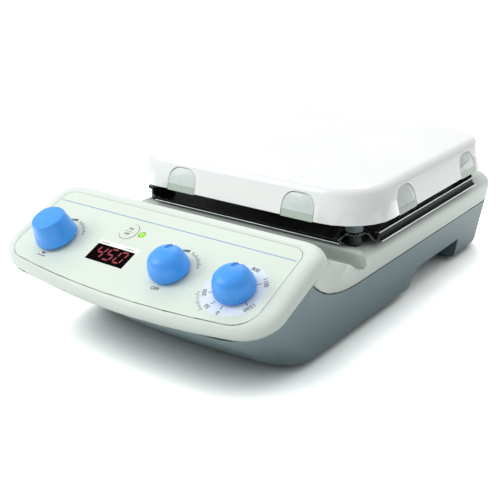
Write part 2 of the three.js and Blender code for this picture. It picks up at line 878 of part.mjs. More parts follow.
function topCover() {
  const lowZ = seamZ - housingWall;
  const shellFrontY = consoleOriginY - pedestalOverlap;
  const wall = bodyWall(lowZ, wallTopZ, 0);
  const blend = pedestal(0, shellFrontY, channelRearY + housingWall, consoleTopRounding, lowZ);
  const shell = joined([deckBody(0, lowZ), wall.intersect(blend)]).subtract(belowSeam(0));
  const outside = shell.add(onConsole(flatBlock));

  const hollowZ = lowZ - cutOverrun;
  const innerWall = bodyWall(hollowZ, wallTopZ, housingWall);
  const insideBlock = onConsole(
    slab(consoleRing(housingWall + consoleTopRounding / 2), -consoleOriginZ, -consoleSkin),
  );
  const inner = pedestal(
    housingWall * Math.SQRT2,
    farFrontY,
    channelRearY + 2 * housingWall,
    consoleSkin,
    hollowZ,
  );
  const headroom = acrossWidth(
    [
      [shellFrontY, -cutOverrun],
      [farRearY, -cutOverrun],
      [farRearY, wallTopZ + cutOverrun],
      [shellFrontY, wallTopZ + cutOverrun],
    ],
    -farX,
    farX,
  );
  const room = innerWall.intersect(inner).intersect(headroom.add(insideBlock));
  const hollow = joined([deckBody(housingWall, hollowZ), room]);

  const roofZ = coverUndersideZ + housingWall / 2;
  const bosses = [
    ...screwPlaces.map(([x, y]) => rod(x, y, seamZ, roofZ, screwBossRadius)),
    ...postPlaces.map(([x, y]) => rod(x, y, postRootZ - housingWall, roofZ, postBossRadius)),
    ...bracketPosts.map(([x, y]) => rod(x, y, bracketTopZ + seatGap, roofZ, bracketPostRadius)),
    rod(rodBushX, rodBushY, rodBushBottomZ, roofZ, rodBushRadius + rodBossWall, roundSides),
  ];
  const controlBosses = controlPosts.map(([x, s]) =>
    rod(x, s, panelFloor + seatGap, -consoleSkin / 2, controlPostRadius),
  );
  const shelled = outside.subtract(hollow);
  const withBosses = joined([
    shelled,
    ...bosses.map((boss) => boss.intersect(outside)),
    onConsole(joined(controlBosses)).intersect(outside),
  ]);
  const screwHoles = screwPlaces.map(([x, y]) =>
    rod(x, y, seamZ - cutOverrun, screwTopZ + seatGap, screwShankRadius + seatGap),
  );
  const postHoles = postPlaces.map(([x, y]) =>
    rod(x, y, postRootZ, deckZ + cutOverrun, postStemRadius + seatGap),
  );
  const rodHole = rod(
    rodBushX,
    rodBushY,
    rodBushBottomZ - cutOverrun,
    deckZ + cutOverrun,
    rodBushRadius + seatGap,
    roundSides,
  );
  const filmBed = slab(filmOutline(seatGap), -filmThickness - seatGap, cutOverrun);
  const panelCuts = joined([filmBed, ...panelOpenings(consoleSkin + cutOverrun, seatGap)]);
  return cut(withBosses, [...screwHoles, ...postHoles, rodHole, onConsole(panelCuts)]);
}

addPart("top_cover", topCover(), coverPlastic);

// Printed film, set flush into the console
const film = cut(slab(filmOutline(0), -filmThickness, 0), panelOpenings(filmThickness * 2, seatGap));
addPart("control_film", film, filmPlastic, consoleGroup);

// Display: a tinted window, the digit module behind it and the board that carries both
const windowBlock = block(
  [windowX - windowWidth / 2, windowS - windowHeight / 2, -windowThickness],
  [windowX + windowWidth / 2, windowS + windowHeight / 2, 0],
);
addPart("display_window", windowBlock, lensRed, consoleGroup);

const displayWide = windowWidth / 2 - displayMargin / 2;
const displayHigh = windowHeight / 2 - displayMargin / 2;
const displayModule = block(
  [windowX - displayWide, windowS - displayHigh, panelFloor + seatGap],
  [windowX + displayWide, windowS + displayHigh, -windowThickness - seatGap],
);
addPart("display_module", displayModule, blackPlastic, consoleGroup);

const controlBoard = block(
  [controlBoardX - controlBoardWidth / 2, controlBoardFront, panelFloor - boardThickness],
  [controlBoardX + controlBoardWidth / 2, controlBoardRear, panelFloor],
);
addPart("control_board", controlBoard, boardGreen, consoleGroup);

// On and off button: a capped plunger held under the panel by its flange
const switchTop = panelFloor + seatGap + switchHeight;
const flangeTop = -consoleSkin - seatGap;
const plungerTip = switchTop + buttonTravel + seatGap;
const button = turned(
  [
    [0, plungerTip],
    [buttonStemRadius, plungerTip],
    [buttonStemRadius, flangeTop - buttonFlangeThickness],
    [buttonFlangeRadius, flangeTop - buttonFlangeThickness],
    [buttonFlangeRadius, flangeTop],
    [buttonRadius, flangeTop],
    [buttonRadius, buttonProud / 2],
    [buttonRadius - buttonProud, buttonProud],
    [0, buttonProud],
  ],
  buttonX,
  buttonS,
);
addPart("power_button", button, filmPlastic, consoleGroup);

const buttonSwitch = block(
  [buttonX - switchSide / 2, buttonS - switchSide / 2, panelFloor + seatGap],
  [buttonX + switchSide / 2, buttonS + switchSide / 2, switchTop],
);
addPart("button_switch", buttonSwitch, blackPlastic, consoleGroup);

const ledFoot = panelFloor + seatGap;
const led = turned(
  [
    [0, ledFoot],
    [ledBaseRadius, ledFoot],
    [ledBaseRadius, ledFoot + ledBaseHeight],
    [ledRadius, ledFoot + ledBaseHeight],
    [ledRadius, -ledProud],
    [ledRadius * Math.SQRT1_2, ledProud / 2],
    [0, ledProud],
  ],
  ledX,
  ledS,
  smallSides,
);
addPart("indicator_led", led, lensGreen, consoleGroup);

// Turned controls: a body under the panel with a bush through it, a nut, a shaft and a knob
function nut(x) {
  const bottom = seatGap;
  const corners = nutAcross / 2 / Math.cos(upright / 3);
  const hexagon = rod(x, knobS, bottom, bottom + nutThickness, corners, 6);
  const hole = rod(x, knobS, -cutOverrun, cutOverrun * 2, bushRadius + seatGap, roundSides);
  return hexagon.subtract(hole);
}

const controlTop = -consoleSkin - seatGap;
const controlFloor = controlTop - potDepth;
const shaftFoot = controlFloor + potFloor;

function shaft(x, foot, knobGap) {
  const tip = knobGap + knobPocketDepth + knobBoreDepth - seatGap;
  return rod(x, knobS, foot, tip, shaftRadius, roundSides);
}

function bush(x) {
  return rod(x, knobS, controlTop - seatGap, bushProud, bushRadius, roundSides);
}

function potentiometer(x) {
  const body = rod(x, knobS, controlFloor, controlTop, potRadius, roundSides);
  const bore = rod(x, knobS, shaftFoot, bushProud + cutOverrun, shaftRadius + runningGap, roundSides);
  return body.add(bush(x)).subtract(bore);
}

function hollowKnob(solid, x, gap) {
  const pocketTop = gap + knobPocketDepth;
  const pocket = rod(x, knobS, gap - cutOverrun, pocketTop, knobPocketRadius, roundSides);
  const bore = rod(x, knobS, gap, pocketTop + knobBoreDepth, shaftRadius + seatGap, roundSides);
  return cut(solid, [pocket, bore]);
}

// A domed dial knob with a pointer groove over its rear half
function dialKnob(x) {
  const profile = dialProfileShares.map(([out, up]) => [
    dialKnobRadius * out,
    dialKnobGap + dialKnobHeight * up,
  ]);
  const dome = turned([[0, dialKnobGap], ...profile], x, knobS, knobSides);
  const inner = turned(
    [[0, 0], ...profile.map(([r, z]) => [Math.max(r - pointerDepth, 0), z - pointerDepth])],
    x,
    knobS,
    knobSides,
  );
  const groove = block(
    [x - pointerWidth / 2, knobS + pointerStart, dialKnobGap + dialKnobHeight / 2],
    [x + pointerWidth / 2, knobS + dialKnobRadius * 2, dialKnobHeight * 2],
  );
  return hollowKnob(dome.subtract(groove.subtract(inner)), x, dialKnobGap);
}

function timerKnob(x) {
  const top = timerKnobGap + timerKnobHeight;
  const profile = [
    [0, timerKnobGap],
    [timerKnobRadius - timerKnobEdge / 2, timerKnobGap],
    [timerKnobRadius, timerKnobGap + timerKnobEdge],
    [timerKnobTopRadius, top - timerKnobEdge],
    [timerKnobTopRadius - timerKnobEdge, top],
    [0, top],
  ];
  return hollowKnob(turned(profile, x, knobS, knobSides), x, timerKnobGap);
}

// Timer: a push encoder, whose shaft slides through the rotor that it turns
const rotorRoof = controlFloor + encoderRotorHeight + 2 * seatGap;
const encoderBlock = block(
  [timerKnobX - encoderSide / 2, knobS - encoderSide / 2, controlFloor],
  [timerKnobX + encoderSide / 2, knobS + encoderSide / 2, controlTop],
).add(bush(timerKnobX));
const rotorRoom = rod(
  timerKnobX,
  knobS,
  controlFloor - cutOverrun,
  rotorRoof,
  encoderRotorRadius + seatGap,
  roundSides,
);
const encoderBore = rod(
  timerKnobX,
  knobS,
  controlFloor - cutOverrun,
  bushProud + cutOverrun,
  shaftRadius + runningGap,
  roundSides,
);
addPart("timer_encoder", cut(encoderBlock, [rotorRoom, encoderBore]), blackPlastic, consoleGroup);
const rotorRing = rod(
  timerKnobX,
  knobS,
  controlFloor + seatGap,
  rotorRoof - seatGap,
  encoderRotorRadius,
  roundSides,
);
addPart("timer_rotor", rotorRing.subtract(encoderBore), brass, consoleGroup);
addPart("timer_nut", nut(timerKnobX), steel, consoleGroup);
addPart(
  "timer_shaft",
  shaft(timerKnobX, controlFloor + encoderShaftTail, timerKnobGap),
  steel,
  consoleGroup,
);
addPart("timer_knob", timerKnob(timerKnobX), knobPlastic, consoleGroup);

[
  ["temperature", temperatureKnobX],
  ["speed", speedKnobX],
].forEach(([name, x]) => {
  addPart(`${name}_potentiometer`, potentiometer(x), steel, consoleGroup);
  addPart(`${name}_nut`, nut(x), steel, consoleGroup);
  addPart(`${name}_shaft`, shaft(x, shaftFoot + seatGap, dialKnobGap), steel, consoleGroup);
  addPart(`${name}_knob`, dialKnob(x), knobPlastic, consoleGroup);
});

// Hot plate: a flat top with a skirt that flares out and down, with arched notches
const skirtFlareShare = (skirtSide - plateSide) / skirtHeight;

function skirtOutline(z, inset) {
  const rise = (z - skirtBottomZ) / skirtHeight;
  const side = skirtSide - (z - skirtBottomZ) * skirtFlareShare;
  const radius = skirtBottomRadius + (plateTopRadius - skirtBottomRadius) * rise;
  return squareOutline(side - 2 * inset, radius - inset);
}

// An arch of the notch's shape, open below, with a margin all round
function arch(middle, lowZ, margin) {
  const [half, topZ] = [notchWidth / 2 + margin, skirtBottomZ + notchHeight + margin];
  const radius = notchCornerRadius + margin;
  const turn = roundingSteps(radius);
  const right = turn.map(({ inset, drop }) => [middle + half - inset, topZ - drop]);
  const left = turn.map(({ inset, drop }) => [middle - half + inset, topZ - drop]).reverse();
  return [[middle - half, lowZ], [middle + half, lowZ], ...right, ...left];
}

// One bar a notch wide, pushed right through the plate from side to side and front to rear
function notchBars(lowZ, margin, nearest, farthest) {
  const [nearY, farY] = [nearest + plateStretch / 2, farthest + plateStretch / 2];
  return [-notchPitch / 2, notchPitch / 2].flatMap((place) => {
    const front = arch(place + notchShiftX, lowZ, margin);
    const side = arch(plateY + place + notchShiftY, lowZ, margin);
    return [
      alongDepth(front, plateY - farY, plateY - nearY),
      alongDepth(front, plateY + nearY, plateY + farY),
      acrossWidth(side, -farthest, -nearest),
      acrossWidth(side, nearest, farthest),
    ];
  });
}

const outerReach = skirtSide / 2 + cutOverrun;
const innerReach = plateSide / 2 - plateEdgeRounding;

function heatingPlate() {
  const bottomRings = [skirtBottomZ, (skirtBottomZ + overallHeight) / 2].map((z) => ({
    z,
    points: skirtOutline(z, 0),
  }));
  const topRings = roundingSteps(plateEdgeRounding).map(({ inset, drop }) => {
    const z = overallHeight - drop;
    return { z, points: skirtOutline(z, inset) };
  });
  const room = loft(
    [skirtBottomZ - cutOverrun, plateUndersideZ].map((z) => ({
      z,
      points: skirtOutline(z, skirtWall),
    })),
  );
  const shell = loft([...bottomRings, ...topRings]).subtract(room);
  const notches = notchBars(skirtBottomZ - cutOverrun, 0, innerReach, outerReach);
  return cut(shell, notches);
}

addPart("heating_plate", heatingPlate(), whiteEnamel);

// Heater pan: a pressed tray inside the skirt whose tabs fill the notches from behind
function heaterPan() {
  const behindSkirt = skirtWall + seatGap;
  const tabZ = skirtBottomZ - panTabDrop;
  const behindWall = behindSkirt + panSheet;
  const skin = (lowZ, highZ, inset) =>
    loft([lowZ, highZ].map((z) => ({ z, points: skirtOutline(z, inset) })));
  const wall = skin(tabZ, panRimZ, panTabInset);
  const inside = skin(tabZ - cutOverrun, panRimZ + cutOverrun, behindWall);
  const tray = skin(panFloorZ, panRimZ, behindSkirt).subtract(
    skin(panFloorZ + panSheet, panRimZ + cutOverrun, behindWall),
  );
  const bars = notchBars(tabZ - cutOverrun, -panTabGap, innerReach, outerReach);
  const tabs = wall.subtract(inside).intersect(joined(bars));
  return tray.add(tabs);
}

addPart("heater_pan", heaterPan(), steel);

const padFloorZ = panFloorZ + panSheet + seatGap;
const padInset = skirtWall + panSheet + padMargin;
const pad = slab(skirtOutline(padFloorZ, padInset), padFloorZ, padFloorZ + padThickness);
addPart("insulation_pad", pad, fibre);

// Heater: one tube in two loops, with both tails at the front
function elementPath() {
  const z = plateUndersideZ - seatGap - elementRadius;
  const deep = 1 + plateStretch / skirtSide;
  const place = (radius, degrees) => {
    const angle = THREE.MathUtils.degToRad(degrees);
    return new THREE.Vector3(radius * Math.cos(angle), plateY + radius * Math.sin(angle) * deep, z);
  };
  const outer = elementOuterAngles.map((a) => place(elementOuterLoop, a));
  const inner = elementInnerAngles.map((a) => place(elementInnerLoop, a));
  const outerTail = new THREE.Vector3(outer[0].x, plateY - elementTailReach * deep, z);
  const innerTail = new THREE.Vector3(elementTailX, plateY - elementTailReach * deep, z);
  return new THREE.CatmullRomCurve3([outerTail, ...outer, ...inner, innerTail], false, "centripetal");
}

function circle(radius, sides) {
  return Array.from({ length: sides }, (_, i) => {
    const angle = (4 * upright * i) / sides;
    return new THREE.Vector2(radius * Math.cos(angle), radius * Math.sin(angle));
  });
}

const elementTube = new THREE.ExtrudeGeometry(new THREE.Shape(circle(elementRadius, elementSides)), {
  steps: elementSteps,
  extrudePath: elementPath(),
  bevelEnabled: false,
});
addPart("heater_element", solidOf(elementTube), darkSteel);

const sensorShape = new THREE.CylinderGeometry(sensorRadius, sensorRadius, sensorLength, smallSides);
const sensorZ = plateUndersideZ - seatGap - sensorRadius;
addPart("temperature_sensor", solidOf(sensorShape.translate(0, plateY, sensorZ)), steel);

// Heat shield: a pressed sheet with folded rims, raised at its corners to clear the posts
function heatShield() {
  const sheetTopZ = shieldFloorZ + shieldSheet;
  const lipTopZ = shieldFloorZ + shieldLipHeight;
  const hemZ = shieldRimTopZ - shieldSheet;
  const edgeX = shieldWidth / 2;
  const edgeY = (shieldDepth + plateStretch) / 2;
  const runX = shieldLipLength / 2;
  const runY = (shieldRimLength + plateStretch) / 2;
  const corners = [
    [-runX, -edgeY],
    [runX, -edgeY],
    [edgeX, -runY],
    [edgeX, runY],
    [runX, edgeY],
    [-runX, edgeY],
    [-edgeX, runY],
    [-edgeX, -runY],
  ].map(([x, y]) => new THREE.Vector2(x, plateY + y));
  const plan = (lowZ, highZ) => {
    const ears = postPlaces.map(([x, y]) => rod(x, y, lowZ, highZ, shieldEarRadius, roundSides));
    return joined([slab(corners, lowZ, highZ), ...ears]);
  };
  const land = (x, y, drop) => {
    const slope = Array.from({ length: arcSteps + 1 }, (_, i) => {
      const share = i / arcSteps;
      const rise = (shieldLandTopZ - shieldFloorZ) * smooth(share);
      return [shieldLandRadius + shieldLandSlope * (1 - share), shieldFloorZ + rise - drop];
    });
    return turned([[0, shieldFloorZ - drop], ...slope, [0, shieldLandTopZ - drop]], x, y);
  };
  const lands = joined(postPlaces.map(([x, y]) => land(x, y, 0)));
  const underLands = postPlaces.map(([x, y]) => land(x, y, shieldSheet));
  const floor = cut(plan(shieldFloorZ, sheetTopZ), underLands);
  const raised = cut(lands.intersect(plan(shieldFloorZ, shieldLandTopZ)), underLands);
  const rims = [-1, 1].flatMap((side) => {
    const span = (edge, width) => {
      const ends = [side * edge, side * (edge - width)];
      return [Math.min(...ends), Math.max(...ends)];
    };
    const [rimLow, rimHigh] = span(edgeX - shieldRimInset, shieldSheet);
    const [hemLow, hemHigh] = span(edgeX - shieldRimInset, shieldHemWidth);
    const [lipLow, lipHigh] = span(edgeY, shieldSheet);
    const [stripLow, stripHigh] = span(edgeY, shieldStripWidth);
    return [
      block([rimLow, plateY - runY, shieldFloorZ], [rimHigh, plateY + runY, shieldRimTopZ]),
      block([hemLow, plateY - runY, hemZ], [hemHigh, plateY + runY, shieldRimTopZ]),
      block([-runX, plateY + lipLow, shieldFloorZ], [runX, plateY + lipHigh, lipTopZ]),
      block([-runX, plateY + stripLow, shieldFloorZ], [runX, plateY + stripHigh, sheetTopZ]),
    ];
  });
  const holes = postPlaces.map(([x, y]) =>
    rod(x, y, shieldFloorZ, shieldLandTopZ + cutOverrun, postStemRadius + seatGap),
  );
  const vent = rod(0, plateY, shieldFloorZ - cutOverrun, sheetTopZ + cutOverrun, shieldVentRadius);
  return cut(joined([floor, raised, ...rims]), [...holes, vent]);
}

addPart("heat_shield", heatShield(), darkSteel);

// Posts stand in the deck and carry the shield on their flanges and the pan on their tips
postPlaces.forEach(([x, y], i) => {
  const profile = [
    [0, postRootZ + seatGap],
    [postStemRadius, postRootZ + seatGap],
    [postStemRadius, deckZ + seatGap],
    [postFlangeRadius, deckZ + seatGap],
    [postFlangeRadius, shieldLandZ - seatGap],
    [postStemRadius, shieldLandZ - seatGap],
    [postStemRadius, panFloorZ - seatGap],
    [0, panFloorZ - seatGap],
  ];
  addPart(`plate_post_${cornerNames[i]}`, turned(profile, x, y, smallSides), steel);
  const sleeve = rod(x, y, shieldLandTopZ + seatGap, panFloorZ - seatGap, spacerRadius, roundSides);
  const bore = rod(x, y, shieldFloorZ, panFloorZ, postStemRadius + seatGap);
  addPart(`plate_spacer_${cornerNames[i]}`, sleeve.subtract(bore), ceramic);
});

// Stirring drive: a flat motor hung under a bracket, and a bar with two magnets above it
const bracketBottomZ = bracketTopZ - bracketSheet;
const motorTopZ = bracketBottomZ - seatGap;
const motorBottomZ = recessTopZ + housingWall + motorFootGap;
const collarTopZ = bracketTopZ + seatGap;
const driveFootZ = motorTopZ - (motorTopZ - motorBottomZ) * motorBoreShare;

const motorBody = turned(
  [
    [0, motorBottomZ],
    [motorRadius, motorBottomZ],
    [motorRadius, motorTopZ],
    [motorCollarRadius, motorTopZ],
    [motorCollarRadius, collarTopZ],
    [0, collarTopZ],
  ],
  0,
  plateY,
);
const motorBore = rod(
  0,
  plateY,
  driveFootZ - seatGap,
  collarTopZ + cutOverrun,
  driveShaftRadius + runningGap,
  roundSides,
);
addPart("motor", motorBody.subtract(motorBore), darkSteel);

const bracketPlate = block(
  [-bracketLength / 2, plateY - bracketWidth / 2, bracketBottomZ],
  [bracketLength / 2, plateY + bracketWidth / 2, bracketTopZ],
);
const bracketHole = rod(
  0,
  plateY,
  bracketBottomZ - cutOverrun,
  bracketTopZ + cutOverrun,
  motorCollarRadius + seatGap,
  roundSides,
);
addPart("motor_bracket", bracketPlate.subtract(bracketHole), aluminium);

addPart("drive_shaft", rod(0, plateY, driveFootZ, barTopZ, driveShaftRadius, roundSides), steel);

const magnetPlaces = [-1, 1].map((side) => (side * magnetPitch) / 2);
const magnetFootZ = barTopZ - magnetSeatDepth;
const barBlock = block(
  [-magnetBarLength / 2, plateY - magnetBarWidth / 2, barBottomZ],
  [magnetBarLength / 2, plateY + magnetBarWidth / 2, barTopZ],
);
const barHole = rod(
  0,
  plateY,
  barBottomZ - cutOverrun,
  barTopZ + cutOverrun,
  driveShaftRadius + seatGap,
  roundSides,
);
const magnetSeats = magnetPlaces.map((x) =>
  rod(x, plateY, magnetFootZ - seatGap, barTopZ + cutOverrun, magnetRadius + seatGap, roundSides),
);
addPart("magnet_bar", cut(barBlock, [barHole, ...magnetSeats]), aluminium);
magnetPlaces.forEach((x, i) => {
  const magnet = rod(x, plateY, magnetFootZ, magnetTopZ, magnetRadius, roundSides);
  addPart(["drive_magnet_left", "drive_magnet_right"][i], magnet, steel);
});

// Power board with its transformer, heat sink and capacitor
const mainBoard = block(
  [-mainBoardWidth / 2, mainBoardFrontY, mainBoardZ],
  [mainBoardWidth / 2, mainBoardRearY, mainBoardZ + boardThickness],
);
addPart("main_board", mainBoard, boardGreen);

const boardSeatZ = mainBoardZ + boardThickness + seatGap;
const boardRoom = coverUndersideZ - boardSeatZ;
const transformerY = mainBoardRearY - transformerRearMargin;
const transformerHeight = boardRoom * transformerHeightShare;
const core = block(
  [transformerX - transformerWidth / 2, transformerY - coreDepth / 2, boardSeatZ],
  [transformerX + transformerWidth / 2, transformerY + coreDepth / 2, boardSeatZ + transformerHeight],
);
const coil = block(
  [transformerX - transformerWidth / 2 + coilMargin, transformerY - transformerDepth / 2, boardSeatZ],
  [
    transformerX + transformerWidth / 2 - coilMargin,
    transformerY + transformerDepth / 2,
    boardSeatZ + transformerHeight - coilMargin,
  ],
);
addPart("transformer", core.add(coil), darkSteel);

const sinkY = mainBoardRearY - sinkRearMargin;
const sinkHeight = boardRoom * sinkHeightShare;
const sinkFoot = block(
  [sinkX - sinkWidth / 2, sinkY - sinkDepth / 2, boardSeatZ],
  [sinkX + sinkWidth / 2, sinkY + sinkDepth / 2, boardSeatZ + sinkBase],
);
const sinkPitch = (sinkWidth - sinkFinThickness) / (sinkFins - 1);
const sinkFinRow = Array.from({ length: sinkFins }, (_, i) => {
  const x = sinkX - sinkWidth / 2 + i * sinkPitch;
  return block(
    [x, sinkY - sinkDepth / 2, boardSeatZ],
    [x + sinkFinThickness, sinkY + sinkDepth / 2, boardSeatZ + sinkHeight],
  );
});
addPart("heat_sink", joined([sinkFoot, ...sinkFinRow]), aluminium);

const capacitorY = mainBoardFrontY + capacitorFrontMargin;
const capacitorTopZ = boardSeatZ + (channelFloorZ - boardSeatZ) * capacitorHeightShare;
const capacitor = rod(capacitorX, capacitorY, boardSeatZ, capacitorTopZ, capacitorRadius, roundSides);
addPart("capacitor", capacitor, blackPlastic);

// Mains inlet: a socket with three pins, and a drawer below it that holds the fuses
const inletOuterY = inletFaceY + seatGap + inletFlange;
const inletRearY = inletFaceY - inletBodyDepth;
const socketZ = inletZ + inletHeight * socketRiseShare;
const socketHeight = inletHeight * socketHeightShare;
const socketFloorY = inletOuterY - socketDepth;
const drawerZ = inletZ - inletHeight * drawerDropShare;
const drawerHeight = inletHeight * drawerHeightShare;
const drawerGripHeight = drawerHeight * drawerGripShare;

function socketShape() {
  const [half, high] = [socketWidth / 2, socketHeight / 2];
  const chamfer = socketHeight * socketChamferShare;
  return [
    [inletX - half, socketZ - high],
    [inletX + half, socketZ - high],
    [inletX + half, socketZ + high - chamfer],
    [inletX + half - chamfer, socketZ + high],
    [inletX - half + chamfer, socketZ + high],
    [inletX - half, socketZ + high - chamfer],
  ];
}

const pinPlaces = [
  ["inlet_pin_left", -pinPitch / 2, -socketHeight * pinDropShare],
  ["inlet_pin_right", pinPitch / 2, -socketHeight * pinDropShare],
  ["inlet_pin_earth", 0, socketHeight * earthRiseShare],
];

function pin(dx, dz, margin) {
  const [wide, high] = [pinWidth / 2 + margin, (socketHeight * pinHeightShare) / 2 + margin];
  return block(
    [inletX + dx - wide, socketFloorY - pinTail - margin, socketZ + dz - high],
    [inletX + dx + wide, socketFloorY + pinReach, socketZ + dz + high],
  );
}

function drawer(margin) {
  const [wide, high] = [drawerWidth / 2 + margin, drawerHeight / 2 + margin];
  return block(
    [inletX - wide, inletOuterY - drawerDepth - margin, drawerZ - high],
    [inletX + wide, inletOuterY, drawerZ + high],
  );
}

const inletFront = inletBlock(0, inletFaceY + seatGap, inletOuterY);
const inletBack = inletBlock(-inletBodyMargin, inletRearY, inletOuterY);
const socketRoom = alongDepth(socketShape(), socketFloorY, inletOuterY + cutOverrun);
const pinSlots = pinPlaces.map(([, dx, dz]) => pin(dx, dz, seatGap));
const drawerRoom = drawer(seatGap).add(drawer(seatGap).translate(0, cutOverrun, 0));
const inletBody = cut(inletFront.add(inletBack), [socketRoom, ...pinSlots, drawerRoom]);
addPart("power_inlet", inletBody, blackPlastic);
pinPlaces.forEach(([name, dx, dz]) => addPart(name, pin(dx, dz, 0), brass));

const drawerGrip = block(
  [inletX - drawerGripWidth / 2, inletOuterY - drawerGripDepth, drawerZ - drawerGripHeight / 2],
  [inletX + drawerGripWidth / 2, inletOuterY + cutOverrun, drawerZ + drawerGripHeight / 2],
);
addPart("fuse_drawer", drawer(0).subtract(drawerGrip), blackPlastic);

// Threaded bush for a support rod
const rodBush = turned(
  [
    [0, rodBushBottomZ + seatGap],
    [rodBushRadius, rodBushBottomZ + seatGap],
    [rodBushRadius, deckZ + seatGap],
    [rodBushFlangeRadius, deckZ + seatGap],
    [rodBushFlangeRadius, deckZ + rodBushFlange],
    [0, deckZ + rodBushFlange],
  ],
  rodBushX,
  rodBushY,
);
const rodBushTopZ = deckZ + rodBushFlange;
const rodBore = rod(
  rodBushX,
  rodBushY,
  rodBushTopZ - rodBoreDepth,
  rodBushTopZ + cutOverrun,
  rodBoreRadius,
  roundSides,
);
addPart("rod_bush", rodBush.subtract(rodBore), brass);

export default root;
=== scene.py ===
import math

import bmesh
import bpy
from mathutils import Matrix, Vector


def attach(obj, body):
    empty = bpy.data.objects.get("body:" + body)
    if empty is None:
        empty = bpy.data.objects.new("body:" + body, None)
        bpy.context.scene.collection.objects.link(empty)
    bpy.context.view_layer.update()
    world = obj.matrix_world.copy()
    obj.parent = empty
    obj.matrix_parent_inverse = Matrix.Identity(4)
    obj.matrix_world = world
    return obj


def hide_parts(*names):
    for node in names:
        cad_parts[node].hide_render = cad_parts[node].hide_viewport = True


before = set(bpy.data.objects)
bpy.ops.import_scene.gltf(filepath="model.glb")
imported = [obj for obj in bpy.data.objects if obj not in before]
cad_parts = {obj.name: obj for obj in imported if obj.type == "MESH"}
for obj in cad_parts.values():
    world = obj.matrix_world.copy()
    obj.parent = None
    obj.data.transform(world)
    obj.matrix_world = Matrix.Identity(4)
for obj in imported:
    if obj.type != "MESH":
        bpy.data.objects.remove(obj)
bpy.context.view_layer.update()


# The bench and the light in the studio. The floor is a white sweep with the stirrer's soft shadow,
# partly cast and partly painted into the floor's colour close to the stirrer. The room is evenly
# bright, with a soft box behind and a stronger one in front, both to the left.
def lamp(name, place, aim, side, power, colour):
    light = bpy.data.lights.new(name, "AREA")
    light.shape = "RECTANGLE"
    light.size = light.size_y = side
    light.energy = power
    light.color = colour
    shown = bpy.data.objects.new(name, light)
    shown.location = place
    shown.rotation_euler = (Vector(aim) - Vector(place)).to_track_quat("-Z", "Y").to_euler()
    bpy.context.collection.objects.link(shown)


class Shade:
    """A value or colour in a finish. Sums on it add Math nodes, and node() adds any other."""

    def __init__(self, tree, socket=None):
        self.tree, self.socket = tree, socket

    def node(self, kind, settings=None, values=None, out=0):
        made = self.tree.nodes.new("ShaderNode" + kind)
        for name, value in (settings or {}).items():
            setattr(made, name, value)
        for name, value in (values or {}).items():
            if isinstance(value, Shade):
                self.tree.links.new(value.socket, made.inputs[name])
            else:
                made.inputs[name].default_value = value
        return Shade(self.tree, made.outputs[out] if made.outputs else None)

    def calc(self, operation, *others):
        return self.node("Math", {"operation": operation}, dict(enumerate([self, *others])))

    def __add__(self, other):
        return self.calc("ADD", other)

    def __mul__(self, other):
        return self.calc("MULTIPLY", other)

    def __sub__(self, other):
        return self.calc("SUBTRACT", other)

    def __rsub__(self, other):
        return self.node("Math", {"operation": "SUBTRACT"}, {0: other, 1: self})

    __radd__ = __add__
    __rmul__ = __mul__

    def ramp(self, low, high):
        """0 below low, 1 above high, and smooth between."""
        settings = {"interpolation_type": "SMOOTHSTEP"}
        return self.node("MapRange", settings, {"Value": self, "From Min": low, "From Max": high})

    def mixed(self, first, second):
        """The first colour where this value is 0, and the second where it is 1."""
        values = {"Factor": self, 6: first, 7: second}
        return self.node("Mix", {"data_type": "RGBA"}, values, out=2)


def new_finish(name):
    """A new material, a value to build its nodes from, and the place on the piece in metres."""
    finish = bpy.data.materials.new(name)
    finish.use_nodes = True
    finish.node_tree.nodes.clear()
    shade = Shade(finish.node_tree)
    place = shade.node("TexCoord", out=3)
    return finish, shade, place


def finished(shade, shader):
    shade.node("OutputMaterial", values={"Surface": shader})


def seen_directly(shade):
    """1 for rays from the camera, a gloss or a clear body, and 0 for those that only light."""
    rays = shade.node("LightPath").socket.node.outputs
    names = ("Is Camera Ray", "Is Glossy Ray", "Is Transmission Ray")
    camera_ray, glossy_ray, clear_ray = (Shade(shade.tree, rays[name]) for name in names)
    return camera_ray.calc("MAXIMUM", glossy_ray).calc("MAXIMUM", clear_ray)


def fill_floor(reach, shadow_reach):
    """A white sweep, with painted shadow close to the stirrer, that throws only a little light
    back up.
    """
    finish, shade, _ = new_finish("white_sweep")
    close, open_floor = (0.18, 0.26, 0.26, 1), (3.0, 3.05, 3.05, 1)
    thrown_back = (0.22, 0.23, 0.23, 1)
    # Painted shadow: the floor's colour turns dark where ambient occlusion finds the stirrer close
    # by.
    near = shade.node("AmbientOcclusion", {"samples": 8}, {"Distance": shadow_reach}, out=1)
    colour = seen_directly(shade).mixed(thrown_back, near.mixed(close, open_floor))
    finished(shade, shade.node("BsdfDiffuse", values={"Color": colour}))
    mesh = bpy.data.meshes.new("sweep")
    corners = [(-reach, -reach, 0), (reach, -reach, 0), (reach, reach, 0), (-reach, reach, 0)]
    mesh.from_pydata(corners, [], [(0, 1, 2, 3)])
    mesh.materials.append(finish)
    floor = bpy.data.objects.new("sweep", mesh)
    bpy.context.collection.objects.link(floor)


fill_floor(reach=12, shadow_reach=0.042)
stirrer_middle, lamp_white = (0, 0, 0.05), (1, 0.99, 0.96)
lamp("rear_box", (-0.6, 0.9, 1.4), stirrer_middle, 0.9, 6, lamp_white)
lamp("front_box", (-0.9, -0.9, 0.9), stirrer_middle, 0.8, 10, lamp_white)

world = bpy.data.worlds.new("studio")
world.use_nodes = True
room = world.node_tree.nodes["Background"].inputs
room["Color"].default_value = (1, 1, 0.985, 1)
room_light = 0.75
shown_light = seen_directly(Shade(world.node_tree)).calc("MAXIMUM", room_light)
world.node_tree.links.new(shown_light.socket, room["Strength"])
scene = bpy.context.scene
scene.world = world
scene.view_settings.view_transform = "Standard"


